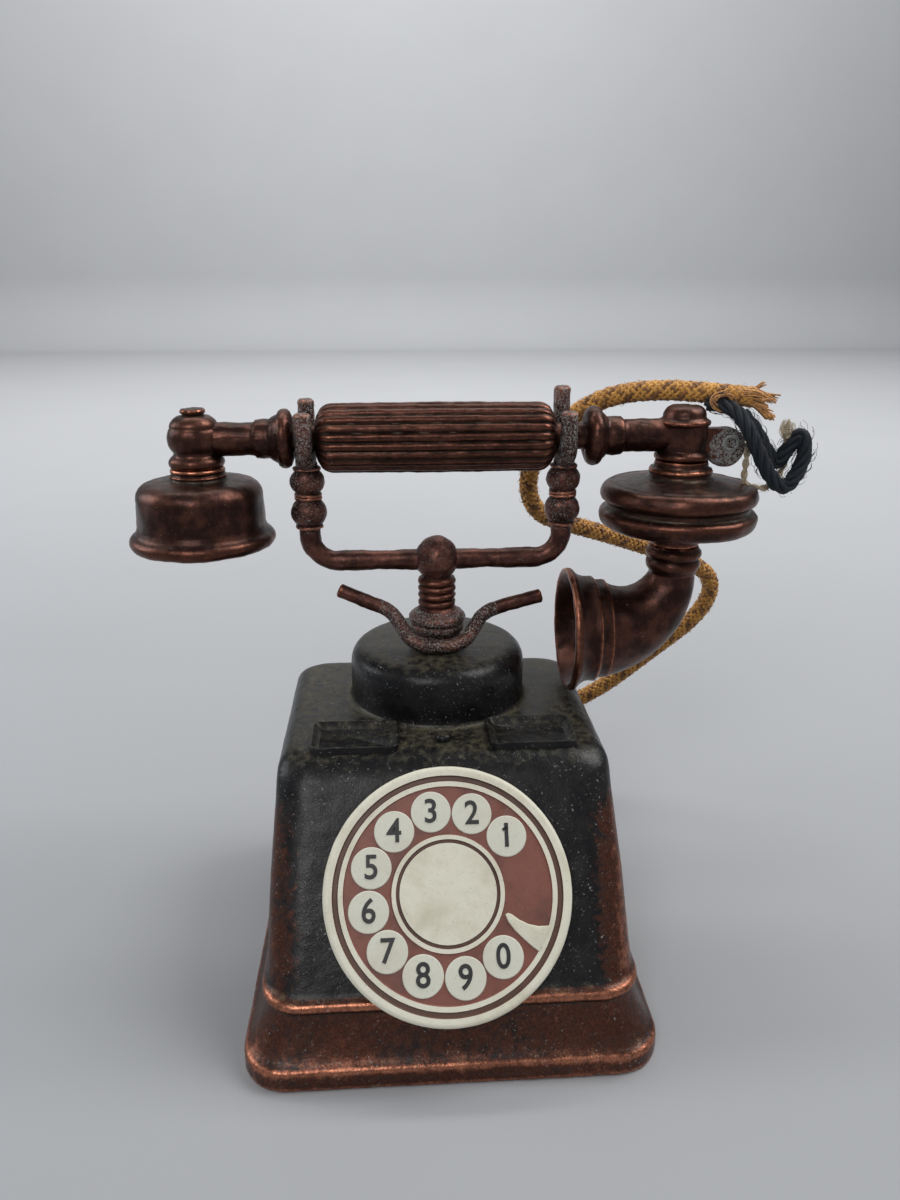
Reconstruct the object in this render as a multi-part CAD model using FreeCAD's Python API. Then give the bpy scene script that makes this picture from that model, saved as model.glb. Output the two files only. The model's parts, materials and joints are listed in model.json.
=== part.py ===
import FreeCAD, Part
import math
import os

# A die-cast miniature of an antique desk telephone that works as a pencil sharpener.
# Millimetres. Origin at the centre of the underside, +X to the right, +Y to the back, +Z up.

Vec = FreeCAD.Vector
ORIGIN = Vec(0, 0, 0)
RIGHT = Vec(1, 0, 0)
LEFT = Vec(-1, 0, 0)
FRONT = Vec(0, -1, 0)
BACK = Vec(0, 1, 0)
UP = Vec(0, 0, 1)
DOWN = Vec(0, 0, -1)

# Driving dimensions of the base casting
FOOT_HALF_X = 22.5
FOOT_HALF_Y = 25.25
FOOT_CORNER = 5.0
FOOT_HEIGHT = 2.8
RIDGE_Z = 8.6
RIDGE_HALF_X = 19.9
RIDGE_HALF_Y = 22.45
RIDGE_STAND_OUT = 0.5
FACE_TILT = 33.5
TOP_Z = 30.3
TOP_HALF_X = 19.3
TOP_BACK_Y = 21.8
BODY_CORNER = 4.5
SHOULDER_ROUND = 2.4
WALL = 1.8
FACE_SLOPE = math.tan(math.radians(FACE_TILT))
TOP_FRONT_Y = -RIDGE_HALF_Y + (TOP_Z - RIDGE_Z) * FACE_SLOPE

# The turret on the top, which the cradle stands on
TURRET_Y = 9.8
TURRET_R = 11.2
TURRET_TOP = 37.5
TURRET_ROUND = 2.4
TURRET_CROWN = 1.3

# Trim cast on the top
FRAME_HALF_X = 5.0
FRAME_HALF_Y = 3.4
FRAME_CENTRE_X = 10.45
FRAME_CENTRE_Y = -3.5
FRAME_RIM = 1.1
FRAME_HEIGHT = 0.6
DOT_Y = -4.2
DOT_R = 0.9

# Underside plate with its window for shavings
PLATE_THICKNESS = 1.5
PLATE_GAP = 0.06
WINDOW_HALF_X = 4.5
WINDOW_HALF_Y = 8.5

# The dial turns on its own stub, which passes through the sloping face
DIAL_X = -0.3
DIAL_R = 13.4
DIAL_THICKNESS = 1.3
DIAL_GAP = 0.3
DIAL_Z = 17.9
BOSS_R = 8.0
BOSS_HEIGHT = 0.6
STUB_R = 1.5
STUB_CLEARANCE = 0.05
CLIP_R = 3.4
CLIP_THICKNESS = 0.5

# Pencil sharpener in the back wall
PENCIL_R = 4.1
PENCIL_X = -8.0
PENCIL_Z = 15.0
PENCIL_LEAD_IN = 3.6
CONE_LENGTH = 18.0
CONE_TIP_R = 0.6
BLOCK_HALF_X = 6.5
BLOCK_HALF_Z = 5.5
BLOCK_FRONT_Y = 0.2
BLOCK_BACK_Y = 20.0
COLLAR_R = 5.2
BLADE_THICKNESS = 0.5
BLADE_LENGTH = 17.0
BLADE_WIDTH = 6.2

# Cradle: column, ball, yoke, beads and forks
STUD_R = 1.6
BALL_Z = 48.8
BALL_R = 2.6
YOKE_ROD_R = 1.25
YOKE_Z = 48.4
ARM_X = 15.7
ELBOW_R = 3.4
FORK_ROD_R = 1.0
FORK_SPAN = 2.8
FRONT_TINE_TOP = 67.0
REAR_TINE_TOP = {-1: 68.1, 1: 69.4}

# Wire hook lever bent round the column's foot
LEVER_ROD_R = 0.85
LEVER_ROUTE = [
    Vec(-12.4, TURRET_Y - 1.0, 44.9),
    Vec(-5.6, TURRET_Y - 2.0, 42.3),
    Vec(-3.9, TURRET_Y - 4.6, 39.6),
    Vec(0.0, TURRET_Y - 5.4, 38.2),
    Vec(3.9, TURRET_Y - 4.6, 39.6),
    Vec(5.6, TURRET_Y - 2.0, 42.0),
    Vec(13.3, TURRET_Y - 1.0, 43.6),
]

# Handset, lying along X in the forks
HANDLE_Z = 63.7
EAR_X = -28.7
MOUTH_X = 30.4
ARM_R = 2.0
NECK_R = 1.6
GRIP_R = 4.2
GRIP_HALF = 13.25
BEAD_R = 3.55
FLUTES = 22
FLUTE_R = 0.32
CUP_R = 8.7
CUP_BOTTOM = 50.8
CAPSULE_R = 9.7
HORN_MOUTH_R = 8.0
HORN_WALL = 0.6
HORN_THROAT_R = 6.4
HORN_NECK_R = 2.9
HORN_NECK_Z = 46.5
HORN_Z = 38.55
HORN_THROAT_X = 21.6
HORN_MOUTH_X = 16.7
RIVET_R = 0.9
LUG_END_X = 38.1
LUG_Z = 62.2
LUG_HALF_Z = 2.45
LUG_THICKNESS = 1.6
LUG_HOLE_R = 0.6
LUG_ROOT_X = 34.4
LUG_ROOT_LOW_Z = 60.8
LIFT_GAP = 0.3

# Braided cord from the knot behind the back wall up to the lug, and the yarn tied there
CORD_R = 1.25
CORD_HOLE_R = 1.5
CORD_X = 9.0
CORD_Z = 14.0
KNOT_R = 2.5
KNOT_Y = 18.2
CORD_ROUTE = [
    Vec(CORD_X, 20.4, CORD_Z),
    Vec(9.1, 26.0, 14.0),
    Vec(10.3, 31.6, 13.6),
    Vec(15.2, 35.8, 13.0),
    Vec(21.6, 36.6, 13.9),
    Vec(28.5, 35.0, 18.3),
    Vec(36.2, 33.6, 25.6),
    Vec(42.7, 32.4, 31.6),
    Vec(44.6, 31.5, 37.6),
    Vec(40.0, 31.0, 41.3),
    Vec(33.4, 29.7, 43.6),
    Vec(26.6, 27.6, 46.3),
    Vec(20.2, 25.8, 48.5),
    Vec(15.0, 24.2, 50.4),
    Vec(12.9, 22.4, 55.0),
    Vec(14.2, 21.0, 60.2),
    Vec(17.8, 19.4, 64.6),
    Vec(22.4, 16.9, 67.7),
    Vec(27.6, 14.4, 68.7),
    Vec(33.2, 12.2, 68.6),
    Vec(38.6, 9.4, 68.2),
]
YARN_R = 0.9
YARN_ROUTE = [
    Vec(38.4, 7.6, 66.9),
    Vec(39.3, 6.7, 64.6),
    Vec(40.4, 6.4, 62.0),
    Vec(41.4, 6.3, 59.5),
    Vec(43.3, 6.5, 58.6),
    Vec(44.6, 6.6, 60.6),
    Vec(44.2, 6.7, 63.2),
    Vec(42.4, 6.8, 64.1),
]
THREAD_R = 0.35
THREAD_ROUTE = [
    Vec(38.7, 9.6, 61.0),
    Vec(38.5, 9.3, 59.2),
    Vec(39.4, 8.6, 58.0),
    Vec(41.0, 8.0, 57.3),
]


def cylinder(radius, start, end):
    """Round bar between two points."""
    run = end - start
    return Part.makeCylinder(radius, run.Length, start, run)


def box(low, high):
    """Rectangular block between its lowest and highest corners."""
    size = high - low
    return Part.makeBox(size.x, size.y, size.z, low)


def fuse(shapes):
    """One solid of several that touch."""
    return shapes[0].multiFuse(shapes[1:]).removeSplitter()


def outline_face(points):
    """Flat face in the XZ plane; an entry that holds two points is an arc through the first to the second."""
    edges = []
    first = here = Vec(points[0][0], 0, points[0][1])
    for step in points[1:]:
        if isinstance(step[0], tuple):
            middle, last = (Vec(x, 0, z) for x, z in step)
            edges.append(Part.Arc(here, middle, last).toBSpline().toShape())
        else:
            last = Vec(step[0], 0, step[1])
            edges.append(Part.LineSegment(here, last).toShape())
        here = last
    edges.append(Part.LineSegment(here, first).toShape())
    return Part.Face(Part.Wire(edges))


def turned(origin, axis, points):
    """Turned solid: the outline gives (radius, height) along the axis from the origin. Its seam is at the back."""
    solid = outline_face(points).revolve(ORIGIN, UP, 360)
    quarter_turn = FreeCAD.Rotation(UP, 90)
    solid.Placement = FreeCAD.Placement(origin, FreeCAD.Rotation(UP, axis) * quarter_turn)
    return solid


def rounded_rectangle(half_x, low_y, high_y, corner, z):
    """Closed wire of a rectangle with round corners, level at height z."""
    edges = []
    centres = [
        (half_x - corner, high_y - corner, 0),
        (corner - half_x, high_y - corner, 90),
        (corner - half_x, low_y + corner, 180),
        (half_x - corner, low_y + corner, 270),
    ]
    arcs = []
    for x, y, start in centres:
        spots = []
        for turn in (0, 45, 90):
            angle = math.radians(start + turn)
            spots.append(Vec(x + corner * math.cos(angle), y + corner * math.sin(angle), z))
        arcs.append(spots)
    for spots, following in zip(arcs, arcs[1:] + arcs[:1]):
        edges.append(Part.Arc(*spots).toShape())
        edges.append(Part.LineSegment(spots[2], following[0]).toShape())
    return Part.Wire(edges)


def tapered(sections, smooth=False):
    """Solid through level rounded rectangles, each (half_x, low_y, high_y, corner, z)."""
    wires = [rounded_rectangle(*section) for section in sections]
    return Part.makeLoft(wires, True, not smooth)


def rod(route, radius, name):
    """Round tube along straight runs joined by tangent arcs, each as large as its two runs allow."""
    share = 0.45
    edges = []
    radii = []
    here = route[0]
    for before, corner, after in zip(route, route[1:], route[2:]):
        into = (corner - before).normalize()
        out = (after - corner).normalize()
        half_turn = into.getAngle(out) / 2
        reach = share * min((corner - before).Length, (after - corner).Length)
        bend = reach / math.tan(half_turn)
        start = corner - into * reach
        end = corner + out * reach
        inward = (out - into).normalize()
        middle = corner + inward * (bend / math.cos(half_turn) - bend)
        edges.append(Part.LineSegment(here, start).toShape())
        edges.append(Part.Arc(start, middle, end).toShape())
        radii.append(round(bend / (2 * radius), 1))
        here = end
    edges.append(Part.LineSegment(here, route[-1]).toShape())
    path = Part.Wire(edges)
    section = Part.Wire(Part.makeCircle(radius, route[0], route[1] - route[0]))
    solid = path.makePipeShell([section], True, True)
    expected = math.pi * radius ** 2 * path.Length
    print(name, "length", round(path.Length, 1), "bends in diameters", radii)
    print(name, "volume over section times length", round(solid.Volume / expected, 4))
    return solid


def face_point(z, stand_off=0.0):
    """Point on the sloping front face at the dial's x and height z, moved out along the dial's axis."""
    on_face = Vec(DIAL_X, -RIDGE_HALF_Y + (z - RIDGE_Z) * FACE_SLOPE, z)
    return on_face + dial_axis() * stand_off


def dial_axis():
    """Outward normal of the sloping front face."""
    tilt = math.radians(FACE_TILT)
    return Vec(0, -math.cos(tilt), math.sin(tilt))


def skirt():
    """Spreading foot with its upright band and the hollow curve up to the ridge."""
    band = tapered([
        (FOOT_HALF_X, -FOOT_HALF_Y, FOOT_HALF_Y, FOOT_CORNER, 0),
        (FOOT_HALF_X, -FOOT_HALF_Y, FOOT_HALF_Y, FOOT_CORNER, FOOT_HEIGHT),
    ])
    waist_x = RIDGE_HALF_X + 0.9
    waist_y = RIDGE_HALF_Y + 0.9
    low_x = FOOT_HALF_X - 0.6
    low_y = FOOT_HALF_Y - 0.6
    middle_z = (FOOT_HEIGHT + RIDGE_Z) / 2
    curve = tapered([
        (low_x, -low_y, low_y, FOOT_CORNER, FOOT_HEIGHT),
        (waist_x, -waist_y, waist_y, FOOT_CORNER, middle_z),
        (RIDGE_HALF_X, -RIDGE_HALF_Y, RIDGE_HALF_Y, BODY_CORNER, RIDGE_Z),
    ], smooth=True)
    edge_x = RIDGE_HALF_X + RIDGE_STAND_OUT
    edge_y = RIDGE_HALF_Y + RIDGE_STAND_OUT
    half_ridge = 0.6
    ridge = tapered([
        (edge_x, -edge_y, edge_y, BODY_CORNER, RIDGE_Z - half_ridge),
        (edge_x, -edge_y, edge_y, BODY_CORNER, RIDGE_Z + half_ridge),
    ])
    return [band, curve, ridge]


def upper_body():
    """Body above the ridge, with a rounded shoulder."""
    body = tapered([
        (RIDGE_HALF_X, -RIDGE_HALF_Y, RIDGE_HALF_Y, BODY_CORNER, RIDGE_Z),
        (TOP_HALF_X, TOP_FRONT_Y, TOP_BACK_Y, BODY_CORNER, TOP_Z),
    ])
    top_edges = [e for e in body.Edges if e.BoundBox.ZMin > TOP_Z - 0.01]
    return body.makeFillet(SHOULDER_ROUND, top_edges)


def turret():
    """Round turret with a rounded rim and a slightly domed roof."""
    rim_z = TURRET_TOP - TURRET_CROWN
    return turned(Vec(0, TURRET_Y, 0), UP, [
        (0, TOP_Z - 1),
        (TURRET_R, TOP_Z - 1),
        (TURRET_R, rim_z - TURRET_ROUND),
        ((TURRET_R - 0.6, rim_z - 0.6), (TURRET_R - TURRET_ROUND, rim_z)),
        ((TURRET_R / 2, TURRET_TOP - 0.25), (0, TURRET_TOP)),
    ])


def top_trim():
    """Two raised rectangular frames and a round dot between them."""
    pieces = [cylinder(DOT_R, Vec(0, DOT_Y, TOP_Z - 1), Vec(0, DOT_Y, TOP_Z + FRAME_HEIGHT))]
    for side in (-1, 1):
        centre = Vec(side * FRAME_CENTRE_X, FRAME_CENTRE_Y, 0)
        half = Vec(FRAME_HALF_X, FRAME_HALF_Y, 0)
        rim = Vec(FRAME_RIM, FRAME_RIM, 0)
        slab = box(centre - half + UP * (TOP_Z - 1), centre + half + UP * (TOP_Z + FRAME_HEIGHT))
        recess = box(centre - half + rim + UP * TOP_Z, centre + half - rim + UP * (TOP_Z + 1))
        pieces.append(slab.cut(recess))
    return pieces


def base_cavity():
    """Hollow of the casting, open at the underside and up into the turret."""
    floor_x = FOOT_HALF_X - WALL
    floor_y = FOOT_HALF_Y - WALL
    ridge_x = RIDGE_HALF_X - WALL
    ridge_y = RIDGE_HALF_Y - WALL
    front_wall = WALL / math.cos(math.radians(FACE_TILT))
    roof_z = TOP_Z - WALL
    roof_front = TOP_FRONT_Y - WALL * FACE_SLOPE + front_wall
    corner = BODY_CORNER - WALL + 0.6
    hollow = tapered([
        (floor_x, -floor_y, floor_y, corner, 0),
        (ridge_x, -ridge_y, ridge_y, corner, RIDGE_Z),
        (TOP_HALF_X - WALL, roof_front, TOP_BACK_Y - WALL, corner, roof_z),
    ])
    well = cylinder(TURRET_R - 2.6, Vec(0, TURRET_Y, roof_z - 1), Vec(0, TURRET_Y, TURRET_TOP - 3.2))
    return [hollow, well]


def base_shell():
    """Hollow zinc casting: skirt, body, turret, top trim, dial boss and its four holes."""
    boss = cylinder(BOSS_R, face_point(DIAL_Z, -WALL), face_point(DIAL_Z, BOSS_HEIGHT))
    solid = fuse(skirt() + [upper_body(), turret(), boss] + top_trim())
    through = 3 * WALL
    dial_hole = cylinder(STUB_R + STUB_CLEARANCE, face_point(DIAL_Z, -through), face_point(DIAL_Z, through))
    stud_hole = cylinder(STUD_R, Vec(0, TURRET_Y, TOP_Z), Vec(0, TURRET_Y, TURRET_TOP + 1))
    inside_y = TOP_BACK_Y - 2 * WALL
    outside_y = FOOT_HALF_Y + 1
    pencil_hole = cylinder(COLLAR_R, Vec(PENCIL_X, inside_y, PENCIL_Z), Vec(PENCIL_X, outside_y, PENCIL_Z))
    cord_hole = cylinder(CORD_HOLE_R, Vec(CORD_X, inside_y, CORD_Z), Vec(CORD_X, outside_y, CORD_Z))
    return solid.cut(base_cavity() + [dial_hole, stud_hole, pencil_hole, cord_hole])


def base_plate():
    """Plastic plate that closes the underside, with a window under the sharpener."""
    inset = (FOOT_HALF_X - RIDGE_HALF_X) * PLATE_THICKNESS / RIDGE_Z + PLATE_GAP
    half_x = FOOT_HALF_X - WALL - inset
    half_y = FOOT_HALF_Y - WALL - inset
    plate = tapered([
        (half_x, -half_y, half_y, BODY_CORNER - WALL, 0),
        (half_x, -half_y, half_y, BODY_CORNER - WALL, PLATE_THICKNESS),
    ])
    middle = Vec(PENCIL_X, (BLOCK_FRONT_Y + BLOCK_BACK_Y) / 2, 0)
    half = Vec(WINDOW_HALF_X, WINDOW_HALF_Y, 0)
    window = box(middle - half - UP, middle + half + UP * (PLATE_THICKNESS + 1))
    return plate.cut(window)


def cone_slope():
    """How fast the sharpener's cone widens along Y."""
    return (PENCIL_R - CONE_TIP_R) / CONE_LENGTH


def blade_bed(depth):
    """Prism below the sloping bed of the blade, depth under the cone's lowest line."""
    end_y = BLOCK_BACK_Y
    start_y = BLOCK_FRONT_Y - 1
    mouth_low = PENCIL_Z - PENCIL_R - depth
    tip_low = mouth_low + (end_y - start_y) * cone_slope()
    floor = PENCIL_Z - 3 * BLOCK_HALF_Z
    left = PENCIL_X - 2 * BLOCK_HALF_X
    corners = [Vec(left, start_y, floor), Vec(left, end_y, floor), Vec(left, end_y, mouth_low),
               Vec(left, start_y, tip_low), Vec(left, start_y, floor)]
    return Part.Face(Part.makePolygon(corners)).extrude(RIGHT * (4 * BLOCK_HALF_X))


def sharpener_block():
    """Wedge sharpener: collar in the back wall, conical bore and sloping bed with a slot."""
    body = box(Vec(PENCIL_X - BLOCK_HALF_X, BLOCK_FRONT_Y, PENCIL_Z - BLOCK_HALF_Z),
               Vec(PENCIL_X + BLOCK_HALF_X, BLOCK_BACK_Y, PENCIL_Z + BLOCK_HALF_Z))
    mouth_y = TOP_BACK_Y + 0.5
    collar = cylinder(COLLAR_R - 0.03, Vec(PENCIL_X, BLOCK_BACK_Y - 1, PENCIL_Z), Vec(PENCIL_X, mouth_y, PENCIL_Z))
    cone_y = mouth_y - PENCIL_LEAD_IN
    bore = turned(Vec(PENCIL_X, mouth_y, PENCIL_Z), FRONT, [
        (0, -1),
        (PENCIL_R, -1),
        (PENCIL_R, PENCIL_LEAD_IN),
        (CONE_TIP_R, PENCIL_LEAD_IN + CONE_LENGTH),
        (0, PENCIL_LEAD_IN + CONE_LENGTH),
    ])
    slot_half = 1.2
    slot = box(Vec(PENCIL_X - slot_half, BLOCK_FRONT_Y + 2, PENCIL_Z - BLOCK_HALF_Z - 1),
               Vec(PENCIL_X + slot_half, cone_y, PENCIL_Z))
    solid = fuse([body, collar]).cut([blade_bed(0.5), bore, slot])
    return solid.cut(blade_screw_shank(0.0))


def bed_point(x, y, below):
    """Point under the blade's bed, measured square to it."""
    slope = math.atan(cone_slope())
    bed_z = PENCIL_Z - PENCIL_R - 0.5 + (BLOCK_BACK_Y - y) * cone_slope()
    return Vec(x, y, bed_z) + Vec(0, -math.sin(slope), -math.cos(slope)) * below


def sharpener_blade():
    """Thin steel blade on the sloping bed, its edge at the slot."""
    slope = math.degrees(math.atan(cone_slope()))
    blade = Part.makeBox(BLADE_WIDTH, BLADE_LENGTH, BLADE_THICKNESS)
    start = bed_point(PENCIL_X - BLADE_WIDTH + 0.6, BLOCK_BACK_Y - BLADE_LENGTH - 1, BLADE_THICKNESS)
    blade.Placement = FreeCAD.Placement(start, FreeCAD.Rotation(RIGHT, -slope))
    return blade.cut(blade_screw_shank(0.1))


def blade_screw_shank(gap):
    """Bar of the blade's screw, wider by a gap."""
    shank_r = 1.0
    where = (PENCIL_X - 3.4, BLOCK_BACK_Y - 9)
    return cylinder(shank_r + gap, bed_point(*where, 1.5), bed_point(*where, -1.6))


def blade_screw():
    """Pan-head screw that holds the blade, with its driving slot."""
    where = (PENCIL_X - 3.4, BLOCK_BACK_Y - 9)
    under = BLADE_THICKNESS + 0.02
    head = cylinder(1.9, bed_point(*where, under + 1.0), bed_point(*where, under))
    shank = cylinder(0.98, bed_point(*where, under), bed_point(*where, -1.5))
    low = bed_point(*where, under + 1.2)
    slot = box(low - Vec(3, 0.25, 0), low + Vec(3, 0.25, 0.6))
    return fuse([head, shank]).cut(slot)


def dial_disc():
    """Plastic dial with a rounded rim and the stub it turns on."""
    back = BOSS_HEIGHT + DIAL_GAP
    front = back + DIAL_THICKNESS
    round_off = 0.5
    stub_end = -WALL - CLIP_THICKNESS - 0.8
    disc = turned(face_point(DIAL_Z), dial_axis(), [
        (0, stub_end),
        (STUB_R, stub_end),
        (STUB_R, back),
        (DIAL_R - round_off, back),
        (DIAL_R, back + round_off),
        (DIAL_R, front - round_off),
        (DIAL_R - round_off, front),
        (0, front),
    ])
    return disc


def dial_clip():
    """Push-on washer that keeps the dial's stub in its hole."""
    start = -WALL - DIAL_GAP
    end = start - CLIP_THICKNESS
    ring = cylinder(CLIP_R, face_point(DIAL_Z, end), face_point(DIAL_Z, start))
    return ring.cut(cylinder(STUB_R, face_point(DIAL_Z, end - 1), face_point(DIAL_Z, start + 1)))


def column():
    """Flared foot, collar, ringed neck and ball, with the stud below."""
    foot = TURRET_TOP - 0.1
    points = [
        (0, TURRET_TOP - 4.6),
        (STUD_R - 0.02, TURRET_TOP - 4.6),
        (STUD_R - 0.02, foot),
        (3.6, foot),
        ((3.3, foot + 1.1), (2.9, foot + 1.8)),
        (3.3, foot + 2.6),
        ((3.6, foot + 3.5), (3.1, foot + 4.3)),
        (2.1, foot + 4.9),
    ]
    ring_pitch = 0.95
    ring_z = foot + 4.9
    for _ in range(4):
        points.append(((2.35, ring_z + ring_pitch / 2), (1.95, ring_z + ring_pitch)))
        ring_z += ring_pitch
    points += [(1.8, BALL_Z - 1.6), (0, BALL_Z - 1.6)]
    ball = turned(Vec(0, TURRET_Y, BALL_Z), UP, [(0, -BALL_R), ((BALL_R, 0), (0, BALL_R))])
    return [turned(Vec(0, TURRET_Y, 0), UP, points), ball]


def bead(x, z, radius, half_height):
    """Swollen ring round an upright arm."""
    return turned(Vec(x, TURRET_Y, z), UP, [
        (0, -half_height),
        (YOKE_ROD_R, -half_height),
        ((radius, 0), (YOKE_ROD_R, half_height)),
        (0, half_height),
    ])


def tine(foot, top):
    """One round tine of a fork, with a ball tip."""
    tip = Vec(foot.x, foot.y, top - FORK_ROD_R)
    return [cylinder(FORK_ROD_R, foot, tip), Part.makeSphere(FORK_ROD_R, tip)]


def curved_rod(radius, start, middle, end):
    """Round bar along an arc through three points."""
    arc = Part.Arc(start, middle, end)
    section = Part.Wire(Part.makeCircle(radius, start, arc.tangent(arc.FirstParameter)[0]))
    return Part.Wire(arc.toShape()).makePipeShell([section], True, True)


def yoke_side(side):
    """One side of the yoke: elbow, beaded arm and the fork that holds the handset."""
    inner = Vec(side * (ARM_X - ELBOW_R), TURRET_Y, YOKE_Z)
    elbow_top = Vec(side * ARM_X, TURRET_Y, YOKE_Z + ELBOW_R)
    diagonal = math.sqrt(0.5)
    elbow_middle = inner + Vec(side * ELBOW_R * diagonal, 0, ELBOW_R * (1 - diagonal))
    fork_z = HANDLE_Z - NECK_R - LIFT_GAP + FORK_SPAN - FORK_ROD_R
    arm_top = Vec(side * ARM_X, TURRET_Y, fork_z - FORK_SPAN)
    front = Vec(side * ARM_X, TURRET_Y - FORK_SPAN, fork_z)
    rear = Vec(side * ARM_X, TURRET_Y + FORK_SPAN, fork_z)
    parts = [
        curved_rod(YOKE_ROD_R, inner, elbow_middle, elbow_top),
        cylinder(YOKE_ROD_R, elbow_top, arm_top - UP * (FORK_ROD_R / 3)),
        bead(side * ARM_X, 54.7, 2.2, 1.5),
        bead(side * ARM_X, 58.5, 2.1, 1.3),
        curved_rod(FORK_ROD_R, front, arm_top, rear),
    ]
    for foot, top in ((front, FRONT_TINE_TOP), (rear, REAR_TINE_TOP[side])):
        parts += tine(foot, top)
    return parts


def cradle():
    """Cradle casting: the column with its stud, the cross rod and two sides with forks."""
    reach = ARM_X - ELBOW_R
    cross_rod = cylinder(YOKE_ROD_R, Vec(-reach, TURRET_Y, YOKE_Z), Vec(reach, TURRET_Y, YOKE_Z))
    return fuse(column() + [cross_rod] + yoke_side(-1) + yoke_side(1))


def cradle_washer():
    """Washer under the turret's roof, held by the stud's peened end."""
    roof = TURRET_TOP - 3.2
    ring = cylinder(4.5, Vec(0, TURRET_Y, roof - 0.8), Vec(0, TURRET_Y, roof - 0.02))
    return ring.cut(cylinder(STUD_R, Vec(0, TURRET_Y, roof - 2), Vec(0, TURRET_Y, roof + 1)))


def hook_lever():
    """Wire bent round the front of the column's foot, its two ends raised like hooks."""
    return rod(LEVER_ROUTE, LEVER_ROD_R, "hook_lever")


def handle_outline():
    """(radius, distance along X from the earpiece hub) of the handset's bar."""
    left_grip = -GRIP_HALF
    points = [
        (0, EAR_X),
        (ARM_R, EAR_X),
        (ARM_R, -21.6),
        (2.3, -21.5),
        (2.3, -19.6),
        (BEAD_R - 0.8, -19.4),
        ((BEAD_R, -18.0), (BEAD_R - 0.5, -17.1)),
        (NECK_R, -17.1),
        (NECK_R, -14.3),
        (3.1, left_grip - 0.9),
        (GRIP_R, left_grip),
        (GRIP_R, GRIP_HALF),
        (3.1, GRIP_HALF + 0.9),
        (NECK_R, 14.3),
        (NECK_R, 18.1),
        (BEAD_R - 0.5, 18.1),
        ((BEAD_R, 19.1), (BEAD_R - 0.8, 20.5)),
        (2.3, 20.7),
        (2.3, 22.7),
        (ARM_R, 22.8),
        (ARM_R, MOUTH_X),
        (0, MOUTH_X),
    ]
    return points


def hub(x, bottom):
    """Upright hub at an end of the handle, with the hole its rivet fills."""
    return turned(Vec(x, TURRET_Y, 0), UP, [
        (0, bottom),
        (3.1, bottom),
        ((3.3, bottom + 0.6), (3.0, bottom + 1.2)),
        (2.5, bottom + 1.6),
        (2.5, HANDLE_Z - 0.6),
        ((3.2, HANDLE_Z + 1.2), (2.3, HANDLE_Z + 2.6)),
        (0, HANDLE_Z + 2.8),
    ])


def flute_cutters():
    """Round grooves along the grip."""
    cutters = []
    for i in range(FLUTES):
        angle = 2 * math.pi * i / FLUTES
        y = TURRET_Y + GRIP_R * math.cos(angle)
        z = HANDLE_Z + GRIP_R * math.sin(angle)
        cutters.append(cylinder(FLUTE_R, Vec(-GRIP_HALF - 1.4, y, z), Vec(GRIP_HALF + 1.4, y, z)))
    return cutters


def lug():
    """Flat tab with a round end, beyond the mouthpiece hub, its root clear of the mouthpiece."""
    half = LUG_THICKNESS / 2
    end_x = LUG_END_X - LUG_HALF_Z
    top_z = LUG_Z + LUG_HALF_Z
    root_low = Vec(MOUTH_X + 2, TURRET_Y - half, LUG_ROOT_LOW_Z)
    root = box(root_low, Vec(LUG_ROOT_X + 0.5, TURRET_Y + half, top_z))
    low = Vec(LUG_ROOT_X, TURRET_Y - half, LUG_Z - LUG_HALF_Z)
    tab = box(low, Vec(end_x, TURRET_Y + half, top_z))
    tip = cylinder(LUG_HALF_Z, Vec(end_x, TURRET_Y - half, LUG_Z), Vec(end_x, TURRET_Y + half, LUG_Z))
    return [root, tab, tip]


def rivet_hole(x, low):
    """Bar that a rivet's shank fills."""
    return cylinder(RIVET_R, Vec(x, TURRET_Y, low), Vec(x, TURRET_Y, HANDLE_Z + 4))


def handset_handle():
    """Handle casting: fluted grip, arms, beads, two hubs and the lug."""
    bar = turned(Vec(0, TURRET_Y, HANDLE_Z), RIGHT, handle_outline())
    bar = bar.cut(flute_cutters())
    solid = fuse([bar, hub(EAR_X, 60.5), hub(MOUTH_X, 60.7)] + lug())
    hole_x = LUG_END_X - 1.8
    hole_z = LUG_Z + 0.7
    half = LUG_THICKNESS
    eye = cylinder(LUG_HOLE_R, Vec(hole_x, TURRET_Y - half, hole_z), Vec(hole_x, TURRET_Y + half, hole_z))
    return solid.cut([eye, rivet_hole(EAR_X, 58), rivet_hole(MOUTH_X, 58)])


def earpiece_cup():
    """Bell of the earpiece: stepped neck, round shoulder, bead at the rim, hollow below."""
    centre = Vec(EAR_X, TURRET_Y, 0)
    outside = turned(centre, UP, [
        (0, CUP_BOTTOM + 3),
        (6.6, CUP_BOTTOM + 3),
        (7.6, CUP_BOTTOM),
        (8.2, CUP_BOTTOM),
        ((CUP_R, 51.5), (8.3, 52.6)),
        (7.75, 53.2),
        (7.5, 56.8),
        ((6.9, 58.4), (5.2, 58.9)),
        (3.4, 59.2),
        (3.1, 60.4),
        (0, 60.4),
    ])
    hollow = turned(centre, UP, [(0, CUP_BOTTOM - 1), (6.4, CUP_BOTTOM - 1), (6.2, 54.6), (0, 55.4)])
    return outside.cut([hollow, rivet_hole(EAR_X, CUP_BOTTOM)])


def rivet(x, low):
    """Rivet with a domed head on the hub and a peened end below."""
    top = HANDLE_Z + 2.82
    return turned(Vec(x, TURRET_Y, 0), UP, [
        (0, low - 0.7),
        (1.5, low - 0.6),
        (1.5, low),
        (RIVET_R - 0.02, low),
        (RIVET_R - 0.02, top),
        (1.6, top),
        ((1.1, top + 0.7), (0, top + 0.9)),
    ])


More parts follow.
